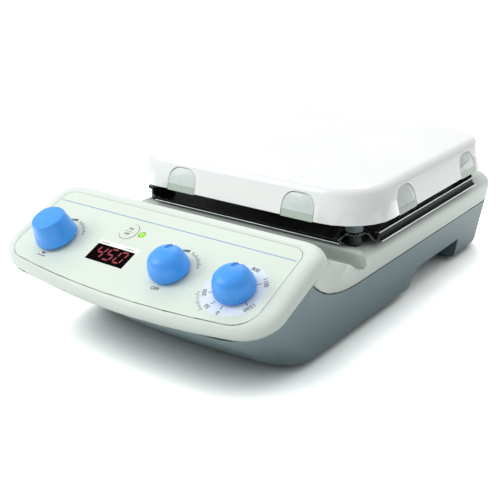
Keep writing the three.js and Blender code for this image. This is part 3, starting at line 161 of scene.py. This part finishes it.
# The camera stands where the photographer's did, to the front right and a little above.
# Its place, turn and lens come from a fit to the plate's, the console's and the seam's edges.
yaw, pitch, roll = (math.radians(a) for a in (36.77, 21.64, 0.55))
camera_data = bpy.data.cameras.new("photo_camera")
camera_data.sensor_width = 36
camera_data.lens = 61.1
camera_data.clip_start = 0.01
camera = bpy.data.objects.new("photo_camera", camera_data)
camera_turn = Matrix.Rotation(yaw, 4, "Z") @ Matrix.Rotation(math.pi / 2 - pitch, 4, "X")
camera_turn = camera_turn @ Matrix.Rotation(-roll, 4, "Z")
camera.matrix_world = Matrix.Translation((0.30972, -0.44798, 0.24121)) @ camera_turn
bpy.context.collection.objects.link(camera)
scene.camera = camera


# Base housing: one deep tub, moulded in a grey-blue plastic with a fine spark texture.
# The texture is a little smoother where hands and cloths rub it, along the lower sides.
def smoothed(name, nodes, body, finish, sharp=32, ease=None):
    """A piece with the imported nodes' own form, welded and with soft shading up to an angle.
    Where ease is given, it works on the form first."""
    mesh = bpy.data.meshes.new(name)
    form = bmesh.new()
    for node in nodes:
        form.from_mesh(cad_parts[node].data)
    bmesh.ops.remove_doubles(form, verts=form.verts, dist=0.00001)
    bmesh.ops.recalc_face_normals(form, faces=form.faces)
    if ease:
        ease(form)
    form.to_mesh(mesh)
    form.free()
    mesh.shade_smooth()
    mesh.set_sharp_from_angle(angle=math.radians(sharp))
    piece = placed(name, mesh, body, finish, nodes)
    even = piece.modifiers.new("even_faces", "WEIGHTED_NORMAL")
    even.keep_sharp = True
    even.weight = 100
    return piece


def placed(name, mesh, body, finish, nodes=()):
    """A piece that rides on its body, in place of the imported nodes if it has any."""
    mesh.materials.clear()
    mesh.materials.append(finish)
    piece = bpy.data.objects.new(name, mesh)
    bpy.context.collection.objects.link(piece)
    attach(piece, body)
    if nodes:
        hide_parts(*nodes)
    return piece


def edge_wear_and_painted_light(shade, radius, low=0.03, high=0.25):
    """A normal that rounds the edges off, and a mask that is 1 along the edges: wear where hands
    and cloths rub, a painted highlight on the heat shield and painted shade on the heater pan.
    """
    rounded = shade.node("Bevel", {"samples": 6}, {"Radius": radius})
    level = shade.node("NewGeometry", out=1)
    both = {0: rounded, 1: level}
    facing = shade.node("VectorMath", {"operation": "DOT_PRODUCT"}, both, out=1)
    return rounded, (1 - facing).ramp(low, high)


def linear(code):
    """A colour's hex code as the light that the shader sums with."""
    parts = [int(code[i : i + 2], 16) / 255 for i in (1, 3, 5)]
    curve = [v / 12.92 if v <= 0.04045 else ((v + 0.055) / 1.055) ** 2.4 for v in parts]
    return (*curve, 1)


def toned(colour, change):
    """A darker colour for a share below 0, and a lighter one for a share above 0."""
    return tuple(min(1, c * (1 + change)) for c in colour[:3]) + (1,)


def paler(colour, share):
    return tuple(c + (1 - c) * share for c in colour[:3]) + (1,)


def moulded(
    name, colour, roughness, grain, depth, edge=0.0003, coat=0.0, tint=0.03, worn=0.12, painted_shade=0.0
):
    """A moulded plastic: a fine grain, slow changes of tone, edges rubbed paler, and painted shade
    where other parts come close."""
    finish, shade, place = new_finish(name)
    spark = shade.node("TexNoise", values={"Vector": place, "Scale": grain, "Detail": 3})
    cloud = shade.node("TexNoise", values={"Vector": place, "Scale": 14, "Detail": 4})
    rounded, edges = edge_wear_and_painted_light(shade, edge)
    base = cloud.ramp(0.35, 0.65).mixed(toned(colour, -tint), toned(colour, tint))
    # Painted shade: ambient occlusion darkens the base colour where other parts come close.
    if painted_shade:
        open_air = shade.node("AmbientOcclusion", {"samples": 8}, {"Distance": 0.05}, out=1)
        base = open_air.mixed(toned(colour, -painted_shade), base)
    rough = roughness + (cloud - 0.5) * 0.12 + (spark - 0.5) * 0.08 - edges * 0.1
    bump = {"Height": spark, "Strength": 0.25, "Distance": depth, "Normal": rounded}
    surface = {
        "Base Color": (edges * cloud.ramp(0.3, 0.6)).mixed(base, paler(colour, worn)),
        "Roughness": rough,
        "Normal": shade.node("Bump", values=bump),
        "Coat Weight": coat,
        "Coat Roughness": 0.2,
    }
    finished(shade, shade.node("BsdfPrincipled", values=surface))
    return finish


# Painted shade darkens the housing's colour where the cover, the floor and other parts come close.
base_blue = moulded("grey_blue_plastic", linear("#5b737a"), 0.5, 2600, 0.00006, painted_shade=0.5)
smoothed("housing_tub", ["base_housing"], "housing", base_blue)


# Feet: turned rubber pads with a short stem that snaps into the tub's floor. Moulded black,
# with a matt dusty bloom. The screws beside them are plain steel and sit deep in the bosses.
corners = ("front_left", "rear_left", "front_right", "rear_right")
foot_rubber = moulded("foot_rubber", linear("#1d1e1f"), 0.8, 900, 0.0001, tint=0.12)
for corner in corners:
    smoothed(f"foot_{corner}", [f"rubber_foot_{corner}"], "housing", foot_rubber)


def metal(name, colour, roughness, stretch, scratch=0.1):
    """A machined or rolled metal, with fine marks that run along its length."""
    finish, shade, place = new_finish(name)
    along = shade.node("Mapping", values={"Vector": place, "Scale": stretch})
    marks = shade.node("TexNoise", values={"Vector": along, "Scale": 900, "Detail": 4})
    stain = shade.node("TexNoise", values={"Vector": place, "Scale": 60, "Detail": 3})
    base = stain.ramp(0.3, 0.7).mixed(toned(colour, -0.18), colour)
    rounded, edges = edge_wear_and_painted_light(shade, 0.0002)
    bump = {"Height": marks, "Strength": scratch, "Distance": 0.00004, "Normal": rounded}
    surface = {
        "Base Color": edges.mixed(base, paler(colour, 0.4)),
        "Metallic": 1.0,
        "Roughness": roughness + (marks - 0.5) * 0.2,
        "Normal": shade.node("Bump", values=bump),
    }
    finished(shade, shade.node("BsdfPrincipled", values=surface))
    return finish


steel = metal("plain_steel", linear("#b4b8bb"), 0.34, (1, 1, 12))
for corner in corners:
    smoothed(f"screw_{corner}", [f"housing_screw_{corner}"], "housing", steel)


# Top cover: the console's shell, the spill channel and the deck in one moulding. A cool off-white
# plastic with a satin face, screwed onto the tub along the dark seam. Painted shade darkens its
# colour in its corners and under the plate.
cover_white = moulded(
    "off_white_plastic", linear("#dbe5df"), 0.45, 2200, 0.00005, 0.0012, worn=0.03, painted_shade=0.75
)
channel_low, channel_high = (-0.1, -0.082, 0.04), (0.1, -0.03, 0.0597)


def channel_faces(form, least_rise=0.15):
    """The faces between the channel's two corners that look up."""
    inside = []
    for face in form.faces:
        middle = face.calc_center_median()
        held = all(channel_low[i] < middle[i] < channel_high[i] for i in range(3))
        if held and face.normal.z > least_rise:
            inside.append(face)
    return inside


def eased_channel(form, longest=0.003, splits=4, sharp_bend=0.6, rounds=24):
    """Splits the spill channel's long faces and relaxes them, so its bends run on smoothly."""
    for _ in range(splits):
        form.normal_update()
        edges = dict.fromkeys(edge for face in channel_faces(form) for edge in face.edges)
        long = [edge for edge in edges if edge.calc_length() > longest]
        bmesh.ops.subdivide_edges(form, edges=long, cuts=1, use_grid_fill=True)
        bmesh.ops.triangulate(form, faces=[f for f in form.faces if len(f.verts) > 4])
    form.normal_update()
    faces = dict.fromkeys(channel_faces(form))
    free = []
    for vert in dict.fromkeys(vert for face in faces for vert in face.verts):
        bends = [e.calc_face_angle(0) for e in vert.link_edges]
        if all(f in faces for f in vert.link_faces) and max(bends) < sharp_bend:
            free.append(vert)
    ways = {"use_axis_x": True, "use_axis_y": True, "use_axis_z": True}
    for _ in range(rounds):
        bmesh.ops.smooth_vert(form, verts=free, factor=0.5, **ways)


smoothed("cover_shell", ["top_cover"], "housing", cover_white, 38, eased_channel)


# Support rod bush: turned brass, pressed into the rear of the deck, its flange on top. A rod
# for clamps or a probe screws into its bore.
brass = metal("turned_brass", linear("#c8a355"), 0.28, (1, 1, 20))
smoothed("support_rod_bush", ["rod_bush"], "housing", brass)


# Mains inlet: a black moulded block behind the rear wall, with three plated brass pins in
# its socket and a drawer below them that pulls out with the fuses.
black_plastic = moulded("black_plastic", linear("#1b1c1d"), 0.42, 1800, 0.00006, tint=0.1)
smoothed("mains_inlet", ["power_inlet"], "housing", black_plastic)
smoothed("fuse_carrier", ["fuse_drawer"], "fuse_drawer", black_plastic)
for side in ("left", "right", "earth"):
    smoothed(f"mains_pin_{side}", [f"inlet_pin_{side}"], "housing", brass)


# Control film: a printed polyester sheet, set flush into the console. Its face is a smooth
# off-white, and the print on it is one thin layer of ink for each colour.
film_white, shade, place = new_finish("printed_film")
fibre = shade.node("TexNoise", values={"Vector": place, "Scale": 1500, "Detail": 2})
haze = shade.node("TexNoise", values={"Vector": place, "Scale": 22, "Detail": 4})
film_tone = haze.ramp(0.3, 0.7).mixed(linear("#dce7dc"), linear("#e0ebe0"))
film_bump = {"Height": fibre, "Strength": 0.12, "Distance": 0.00003}
film_surface = {
    "Base Color": film_tone,
    "Roughness": 0.3 + (haze - 0.5) * 0.1,
    "Normal": shade.node("Bump", values=film_bump),
}
finished(shade, shade.node("BsdfPrincipled", values=film_surface))
smoothed("panel_film", ["control_film"], "housing", film_white)

panel_place, panel_tilt = (0, -0.11172, 0.0753), math.radians(24)
panel = Matrix.Translation(panel_place) @ Matrix.Rotation(panel_tilt, 4, "X")
ink_height, ink_layer = 0.00006, 0.00003


def ink(name, colour):
    finish, shade, place = new_finish(name)
    wear = shade.node("TexNoise", values={"Vector": place, "Scale": 1200, "Detail": 2})
    surface = {
        "Base Color": wear.ramp(0.35, 0.7).mixed(colour, paler(colour, 0.18)),
        "Roughness": 0.4 + (wear - 0.5) * 0.15,
    }
    finished(shade, shade.node("BsdfPrincipled", values=surface))
    return finish


def inked(name, form, finish, body="housing", height=ink_height):
    """A drawing in millimetres in the panel's own plane, laid on it as a thin layer of ink."""
    bmesh.ops.remove_doubles(form, verts=form.verts, dist=0.002)
    lift = Matrix.Translation((0, 0, height)) @ Matrix.Scale(0.001, 4)
    bmesh.ops.transform(form, matrix=panel @ lift, verts=form.verts)
    mesh = bpy.data.meshes.new(name)
    form.to_mesh(mesh)
    form.free()
    piece = placed(name, mesh, body, finish)
    layer = piece.modifiers.new("layer", "SOLIDIFY")
    layer.thickness = ink_layer
    return piece


def printed(name, shapes, finish, body="housing", height=ink_height):
    """Flat shapes on the panel, each a list of its corners, anticlockwise."""
    form = bmesh.new()
    for shape in shapes:
        form.faces.new([form.verts.new((x, s, 0)) for x, s in shape])
    return inked(name, form, finish, body, height)


def band(middle, inner, outer, start, end, steps=48):
    """An arc's quads round a point. Angles run clockwise from straight up, in degrees, and
    the band's two radii may change from its start to its end."""
    shapes = []
    for i in range(steps):
        quad = []
        for t, radii in ((i, inner), (i + 1, inner), (i + 1, outer), (i, outer)):
            share = t / steps
            angle = math.radians(start + (end - start) * share)
            reach = radii[0] + (radii[1] - radii[0]) * share
            quad.append((middle[0] + reach * math.sin(angle), middle[1] + reach * math.cos(angle)))
        shapes.append(quad)
    return shapes


def tick(middle, inner, outer, angle, width):
    """The corners of a short bar that points away from a middle."""
    turn = math.radians(angle)
    out, side = (math.sin(turn), math.cos(turn)), (math.cos(turn), -math.sin(turn))
    ends = ((inner, -1), (inner, 1), (outer, 1), (outer, -1))
    return [
        (
            middle[0] + out[0] * reach + side[0] * hand * width / 2,
            middle[1] + out[1] * reach + side[1] * hand * width / 2,
        )
        for reach, hand in ends
    ]


def bar(left, low, right, high):
    """The corners of an upright rectangle."""
    return [(left, low), (right, low), (right, high), (left, high)]


timer_middle, temperature_middle, speed_middle = (-63.6, -29), (24.6, -28.9), (68.3, -28.8)
ring_radius, ring_sides = 18.3, 96
ring_turns = [2 * math.pi * i / ring_sides for i in range(ring_sides)]
dial_rim = [(ring_radius * math.sin(turn), ring_radius * math.cos(turn)) for turn in ring_turns]
dial_ring = [[(speed_middle[0] - x, speed_middle[1] + s) for x, s in dial_rim]]
pale_blue = ink("pale_blue_ink", linear("#e2edf6"))
printed("dial_ring_print", dial_ring, pale_blue, height=ink_height / 2)
printed("blue_line_print", [bar(-88, -0.3, 88.2, 0.3)], ink("blue_ink", linear("#6f9fd2")))

grey_ink = ink("grey_ink", linear("#3a4446"))
dial_angles = {"0": 178, "50": -153, "300": -116, "500": -62, "800": 8, "1100": 52, "1500": 118}
marks = [tick(speed_middle, 11.6, 14.2, angle, 0.5) for angle in dial_angles.values()]
for middle in (temperature_middle, timer_middle):
    marks += band(middle, inner=(15.2, 15.2), outer=(15.4, 17.3), start=-40, end=6, steps=12)
    for i in range(12):
        long_tick = 0.9 * (i % 3 == 0)
        marks.append(tick(middle, 15, 16.4 + long_tick, 15 + 4.4 * i, 0.45))
for i in range(10):
    long_tick = 0.8 * (i % 4 == 0)
    marks.append(tick(speed_middle, 19.2, 20.4 + long_tick, -151 + 4.2 * i, 0.4))
press_mark = [bar(-66.4, -45.2, -59.6, -44.6), [(-65, -42.1), (-63, -43.9), (-61, -42.1)]]
printed("scale_print", marks + press_mark, grey_ink)


def drawn_mesh(curve):
    """The mesh that a curve or text makes."""
    shown = bpy.data.objects.new("drawing", curve)
    bpy.context.collection.objects.link(shown)
    bpy.context.view_layer.update()
    made = shown.evaluated_get(bpy.context.evaluated_depsgraph_get())
    mesh = bpy.data.meshes.new_from_object(made)
    bpy.data.objects.remove(shown)
    return mesh


def letters(words, size):
    """The flat outline of some words, centred on their own middle, in millimetres."""
    text = bpy.data.curves.new("lettering", "FONT")
    text.body, text.size = words, size
    text.align_x, text.align_y = "CENTER", "CENTER"
    text.resolution_u = 3
    text.offset = 0.07
    return drawn_mesh(text)


def lettered(name, placings, finish, body="housing", height=ink_height):
    """One mesh of several words: each placing is the words, their size, place and turn."""
    form = bmesh.new()
    for words, size, (x, s), turn in placings:
        drawn = letters(words, size)
        drawn.transform(Matrix.Rotation(math.radians(-turn), 4, "Z"))
        drawn.transform(Matrix.Translation((x, s, 0)))
        form.from_mesh(drawn)
        bpy.data.meshes.remove(drawn)
    return inked(name, form, finish, body, height)


def round_dial(words, size, middle, reach, start, spread):
    """Single letters along an arc, clockwise, their feet towards the middle."""
    placings = []
    for i, letter in enumerate(words):
        angle = start + spread * i
        turn = math.radians(angle)
        x, s = middle[0] + reach * math.sin(turn), middle[1] + reach * math.cos(turn)
        placings.append((letter, size, (x, s), angle))
    return placings


figures = []
figure_size, figure_reach, figure_spread = 3.4, 16.4, 6
for number, angle in dial_angles.items():
    start = angle - figure_spread * (len(number) - 1) / 2
    figures += round_dial(number, figure_size, speed_middle, figure_reach, start, figure_spread)
figures.append(("OFF", 3.2, (24.7, -43), 0))
lettered("panel_lettering", figures, grey_ink)


# Display: a smoked red window over a module of three digits. The lit bars of each digit
# glow through the window, and a white printed strip runs along its upper edge.
window_smoke, shade, place = new_finish("smoked_window")
swirl = shade.node("TexNoise", values={"Vector": place, "Scale": 240, "Detail": 2})
smoke = {
    "Base Color": swirl.ramp(0.3, 0.7).mixed(linear("#060103"), linear("#0a0204")),
    "Roughness": 0.35 + swirl * 0.1,
    "Specular IOR Level": 0.01,
}
finished(shade, shade.node("BsdfPrincipled", values=smoke))
smoothed("smoked_window", ["display_window"], "housing", window_smoke)
smoothed("digit_module", ["display_module"], "housing", black_plastic)
white_ink = ink("white_ink", linear("#f8faf8"))
printed("white_strip_print", [bar(-34.4, -24.5, -3.4, -21.4)], white_ink, height=ink_height / 2)
dash_starts = (-32, -30.7, -29.4, -28.1, -26.8, -13.6, -12.3, -11, -9.7, -8.4)
dash_length = 0.9
dashes = [bar(x, -23.4, x + dash_length, -22.8) for x in dash_starts]
printed("strip_marks", dashes, grey_ink)

glow, shade, place = new_finish("red_segments")
dots = shade.node("TexNoise", values={"Vector": place, "Scale": 900, "Detail": 1})
glowing = {
    "Base Color": linear("#4a0d1a"),
    "Emission Color": dots.ramp(0.2, 0.8).mixed(linear("#8c1228"), linear("#a8172f")),
    "Emission Strength": 0.8,
    "Roughness": 0.4 + dots * 0.1,
}
finished(shade, shade.node("BsdfPrincipled", values=glowing))
digit_width, digit_height, digit_middle, lit_width, lean = 5, 8.6, -30.4, 1.1, 0.18
bar_corners = ((0.14, 0), (0.24, -1), (-0.24, -1), (-0.14, 0), (-0.24, 1), (0.24, 1))
bar_ends = {
    "a": ((0, 1), (1, 1)),
    "b": ((1, 1), (1, 0.5)),
    "c": ((1, 0.5), (1, 0)),
    "d": ((0, 0), (1, 0)),
    "e": ((0, 0.5), (0, 0)),
    "f": ((0, 1), (0, 0.5)),
    "g": ((0, 0.5), (1, 0.5)),
}
lit = {"4": "fgbc", "5": "afgcd", "0": "abcdef"}
segments = []
for digit, middle in zip("450", (-27, -19.2, -11.2)):
    for letter in lit[digit]:
        (x0, s0), (x1, s1) = [
            ((u - 0.5) * digit_width, (v - 0.5) * digit_height) for u, v in bar_ends[letter]
        ]
        length = math.hypot(x1 - x0, s1 - s0)
        along = ((x1 - x0) / length, (s1 - s0) / length)
        across = (-along[1], along[0])
        shape = []
        for share, hand in bar_corners:
            start = (x0, s0) if share > 0 else (x1, s1)
            step = share * lit_width * 3
            x = start[0] + along[0] * step + across[0] * hand * lit_width / 2
            s = start[1] + along[1] * step + across[1] * hand * lit_width / 2
            shape.append((middle + x + s * lean, digit_middle + s))
        segments.append(shape)
printed("digit_segments", segments, glow)


# Power button: a round cap of the film's colour that dips a little when pressed, with a thin
# dark gap round it. The indicator beside it is a clear lens over a bright yellow-green chip.
smoothed("power_cap", ["power_button"], "power_button", film_white)
cap_height = 0.00046
cap_line = [bar(-24.6, -10.85, -17.8, -10.6)]
printed("button_marks", cap_line, grey_ink, "power_button", cap_height)
cap_words = [("ON", 2.2, (-20.9, -8.5), 0), ("OFF", 2.2, (-21.1, -12.9), 0)]
lettered("button_lettering", cap_words, grey_ink, "power_button", cap_height)
smoothed("button_contact", ["button_switch"], "housing", black_plastic)
lens, shade, place = new_finish("green_lens")
facet = shade.node("TexVoronoi", values={"Vector": place, "Scale": 1800})
lens_surface = {
    "Base Color": linear("#8fd12c"),
    "Emission Color": facet.ramp(0, 0.6).mixed(linear("#b9f03a"), linear("#7cc81c")),
    "Emission Strength": 0.45,
    "Roughness": 0.12 + facet * 0.1,
}
finished(shade, shade.node("BsdfPrincipled", values=lens_surface))
smoothed("indicator_lens", ["indicator_led"], "housing", lens)


# Knobs: moulded in a clear bright blue. The timer's is a plain cone with a flat top, and the
# two dial knobs are domes with a shallow pointer groove over the rear.
knob_blue = moulded("bright_blue_plastic", linear("#3a9eff"), 0.42, 2400, 0.00003, 0.0006, 0.12)
for piece_name, knob in (
    ("timer_knob_cone", "timer_knob"),
    ("temperature_dome", "temperature_knob"),
    ("speed_dome", "speed_knob"),
):
    smoothed(piece_name, [knob], knob, knob_blue, sharp=40)


# Behind the panel: plated steel shafts and nuts, and the bodies that the shafts turn in, held
# to the panel's back by the nuts. The boards are green laminate with etched tracks.
for name in ("timer", "temperature", "speed"):
    smoothed(f"{name}_spindle", [f"{name}_shaft"], f"{name}_knob", steel)
    smoothed(f"{name}_panel_nut", [f"{name}_nut"], "housing", steel)
for name in ("temperature", "speed"):
    smoothed(f"{name}_pot", [f"{name}_potentiometer"], "housing", steel)
smoothed("timer_encoder_block", ["timer_encoder"], "housing", black_plastic)
smoothed("timer_rotor_ring", ["timer_rotor"], "timer_rotor", brass)

board_green, shade, place = new_finish("circuit_board_green")
tracks = {
    "Vector": place,
    "Scale": 420,
    "Brick Width": 0.9,
    "Row Height": 0.35,
    "Mortar Size": 0.05,
    "Color1": linear("#1d6b3a"),
    "Color2": linear("#21753f"),
    "Mortar": linear("#2f8f4e"),
}
weave = shade.node("TexNoise", values={"Vector": place, "Scale": 1500, "Detail": 2})
board_bump = {"Height": weave, "Strength": 0.2, "Distance": 0.00004}
board_surface = {
    "Base Color": shade.node("TexBrick", values=tracks),
    "Roughness": 0.35 + weave * 0.2,
    "Normal": shade.node("Bump", values=board_bump),
}
finished(shade, shade.node("BsdfPrincipled", values=board_surface))
smoothed("panel_board", ["control_board"], "housing", board_green)
smoothed("power_board", ["main_board"], "housing", board_green)


# Power parts: a laminated transformer with its coil, a finned heat sink and a capacitor,
# all standing on the power board in the rear of the tub.
dark_steel = metal("dark_steel", linear("#3b3f42"), 0.42, (1, 1, 1), 0.2)
smoothed("mains_transformer", ["transformer"], "housing", dark_steel)
aluminium = metal("rolled_aluminium", linear("#c3c7ca"), 0.36, (14, 1, 1))
smoothed("finned_sink", ["heat_sink"], "housing", aluminium)
smoothed("smoothing_capacitor", ["capacitor"], "housing", black_plastic)


# Stirring drive: a flat motor under its bracket, and a bar that swings two magnets round
# close below the deck.
smoothed("stirring_motor", ["motor"], "housing", dark_steel)
smoothed("motor_bridge", ["motor_bracket"], "housing", aluminium)
smoothed("rotor_spindle", ["drive_shaft"], "stirring_rotor", steel)
smoothed("rotor_bar", ["magnet_bar"], "stirring_rotor", aluminium)
for side in ("left", "right"):
    smoothed(f"rotor_magnet_{side}", [f"drive_magnet_{side}"], "stirring_rotor", steel)


# Heat shield: a black enamelled steel tray that keeps the plate's heat from the deck. The fine
# bright line along each cut edge, lip and rim is a painted highlight: pale colour on the enamel's
# edges, and thin pale steel rods along the rims.
shield_black, shade, place = new_finish("black_enamel")
pitting = shade.node("TexNoise", values={"Vector": place, "Scale": 500, "Detail": 3})
rounded, edges = edge_wear_and_painted_light(shade, 0.0007, 0.04, 0.14)
# Painted highlight: the enamel's colour turns pale along its edges, in a broken line.
painted_glint = edges * pitting.ramp(0.2, 0.4)
shield_bump = {"Height": pitting, "Strength": 0.1, "Distance": 0.00005, "Normal": rounded}
shield_surface = {
    "Base Color": painted_glint.mixed(linear("#050707"), linear("#b9c4c6")),
    "Roughness": 0.4 + painted_glint * 0.1,
    "Specular IOR Level": 0.05,
    "Normal": shade.node("Bump", values=shield_bump),
}
finished(shade, shade.node("BsdfPrincipled", values=shield_surface))
smoothed("enamelled_tray", ["heat_shield"], "housing", shield_black)

# Painted highlight: thin pale steel rods along the lips and the rims make the bright lines that
# these folds catch.
rim_glint_steel = metal("rim_glint_steel", linear("#c5cfd0"), 0.4, (1, 1, 1))
lip_ends, rim_ends, line_radius = (-0.072, 0.0735), (-0.026, 0.112), 0.00035
low_z, rim_z, rim_set_in = 0.0601, 0.0652, 0.978
rim_lines = [[(x, y, low_z) for x in lip_ends] for y in (-0.0441, 0.1301)]
for x in (-0.092, 0.092):
    rim_lines.append([(x, y, low_z) for y in rim_ends])
    rim_lines.append([(x * rim_set_in, y, rim_z) for y in rim_ends])
rim_curve = bpy.data.curves.new("rim_lines", "CURVE")
rim_curve.dimensions, rim_curve.bevel_depth, rim_curve.use_fill_caps = "3D", line_radius, True
for ends in rim_lines:
    line = rim_curve.splines.new("POLY")
    line.points.add(1)
    for point, end in zip(line.points, ends):
        point.co = (*end, 1)
placed("tray_glint_rods", drawn_mesh(rim_curve), "housing", rim_glint_steel)


# Posts and spacers: a turned steel post in each corner, with a fired ceramic sleeve between
# the shield and the pan.
fired = moulded("fired_ceramic", linear("#5a686b"), 0.6, 700, 0.0001, tint=0.08)
# The posts are coloured a dark steel grey.
dark_post_steel = metal("dark_post_steel", linear("#2b2f31"), 0.6, (1, 1, 12), 0.2)
for corner in corners:
    smoothed(f"post_{corner}", [f"plate_post_{corner}"], "housing", dark_post_steel)
    smoothed(f"sleeve_{corner}", [f"plate_spacer_{corner}"], "housing", fired)


# Heater pan, pad, tube and sensor: a pressed tray whose tabs close the skirt's notches, a
# mineral fibre pad in it, and the heating tube against the plate.
pan_enamel, shade, place = new_finish("pan_enamel")
parts = shade.node("SeparateXYZ", values={"Vector": place})
height = Shade(shade.tree, parts.socket.node.outputs[2])
mottle = shade.node("TexNoise", values={"Vector": place, "Scale": 300, "Detail": 3})
rounded, edges = edge_wear_and_painted_light(shade, 0.0003)
tone = mottle.ramp(0.3, 0.7).mixed(linear("#ccd6d7"), linear("#d4dddd"))
# Painted reflection and shade: below a set height the pan is a darker sage, for the console
# reflected in the tabs and the shade low in the skirt's notches.
band_fade_start, band_fade_end = 0.0774, 0.0777
painted_band = (1 - height.ramp(band_fade_start, band_fade_end)).mixed(tone, linear("#b0c0b6"))
pan_bump = {"Height": mottle, "Strength": 0.08, "Distance": 0.00005, "Normal": rounded}
# Painted shade: the pan's edges are darkened, as the shade along the rims of the skirt's notches.
pan_surface = {
    "Base Color": (edges * 0.7).mixed(painted_band, linear("#4d5a5c")),
    "Roughness": 0.32 + (mottle - 0.5) * 0.1,
    "Normal": shade.node("Bump", values=pan_bump),
}
finished(shade, shade.node("BsdfPrincipled", values=pan_surface))
smoothed("pressed_pan", ["heater_pan"], "housing", pan_enamel)
wool = moulded("mineral_fibre", linear("#ddd9cb"), 0.95, 500, 0.0004, tint=0.1)
smoothed("fibre_pad", ["insulation_pad"], "housing", wool)
smoothed("heating_tube", ["heater_element"], "housing", dark_steel)
smoothed("plate_sensor", ["temperature_sensor"], "housing", steel)


# Hot plate: cast aluminium under a thick glossy white enamel. The enamel is glassy, with a
# very slight orange peel and a softer gloss where pots have rubbed the middle.
enamel, shade, place = new_finish("white_enamel")
peel = shade.node("TexNoise", values={"Vector": place, "Scale": 260, "Detail": 2})
rub = shade.node("TexNoise", values={"Vector": place, "Scale": 18, "Detail": 5})
rounded, _ = edge_wear_and_painted_light(shade, 0.0006)
enamel_bump = {"Height": peel, "Strength": 0.06, "Distance": 0.0001, "Normal": rounded}
enamel_surface = {
    "Base Color": rub.ramp(0.3, 0.7).mixed(linear("#eef2f2"), linear("#f3f6f6")),
    "Roughness": 0.22 + (rub - 0.4) * 0.15,
    "Normal": shade.node("Bump", values=enamel_bump),
    "Coat Weight": 0.3,
    "Coat Roughness": 0.1,
}
finished(shade, shade.node("BsdfPrincipled", values=enamel_surface))
smoothed("enamelled_plate", ["heating_plate"], "housing", enamel, sharp=38)
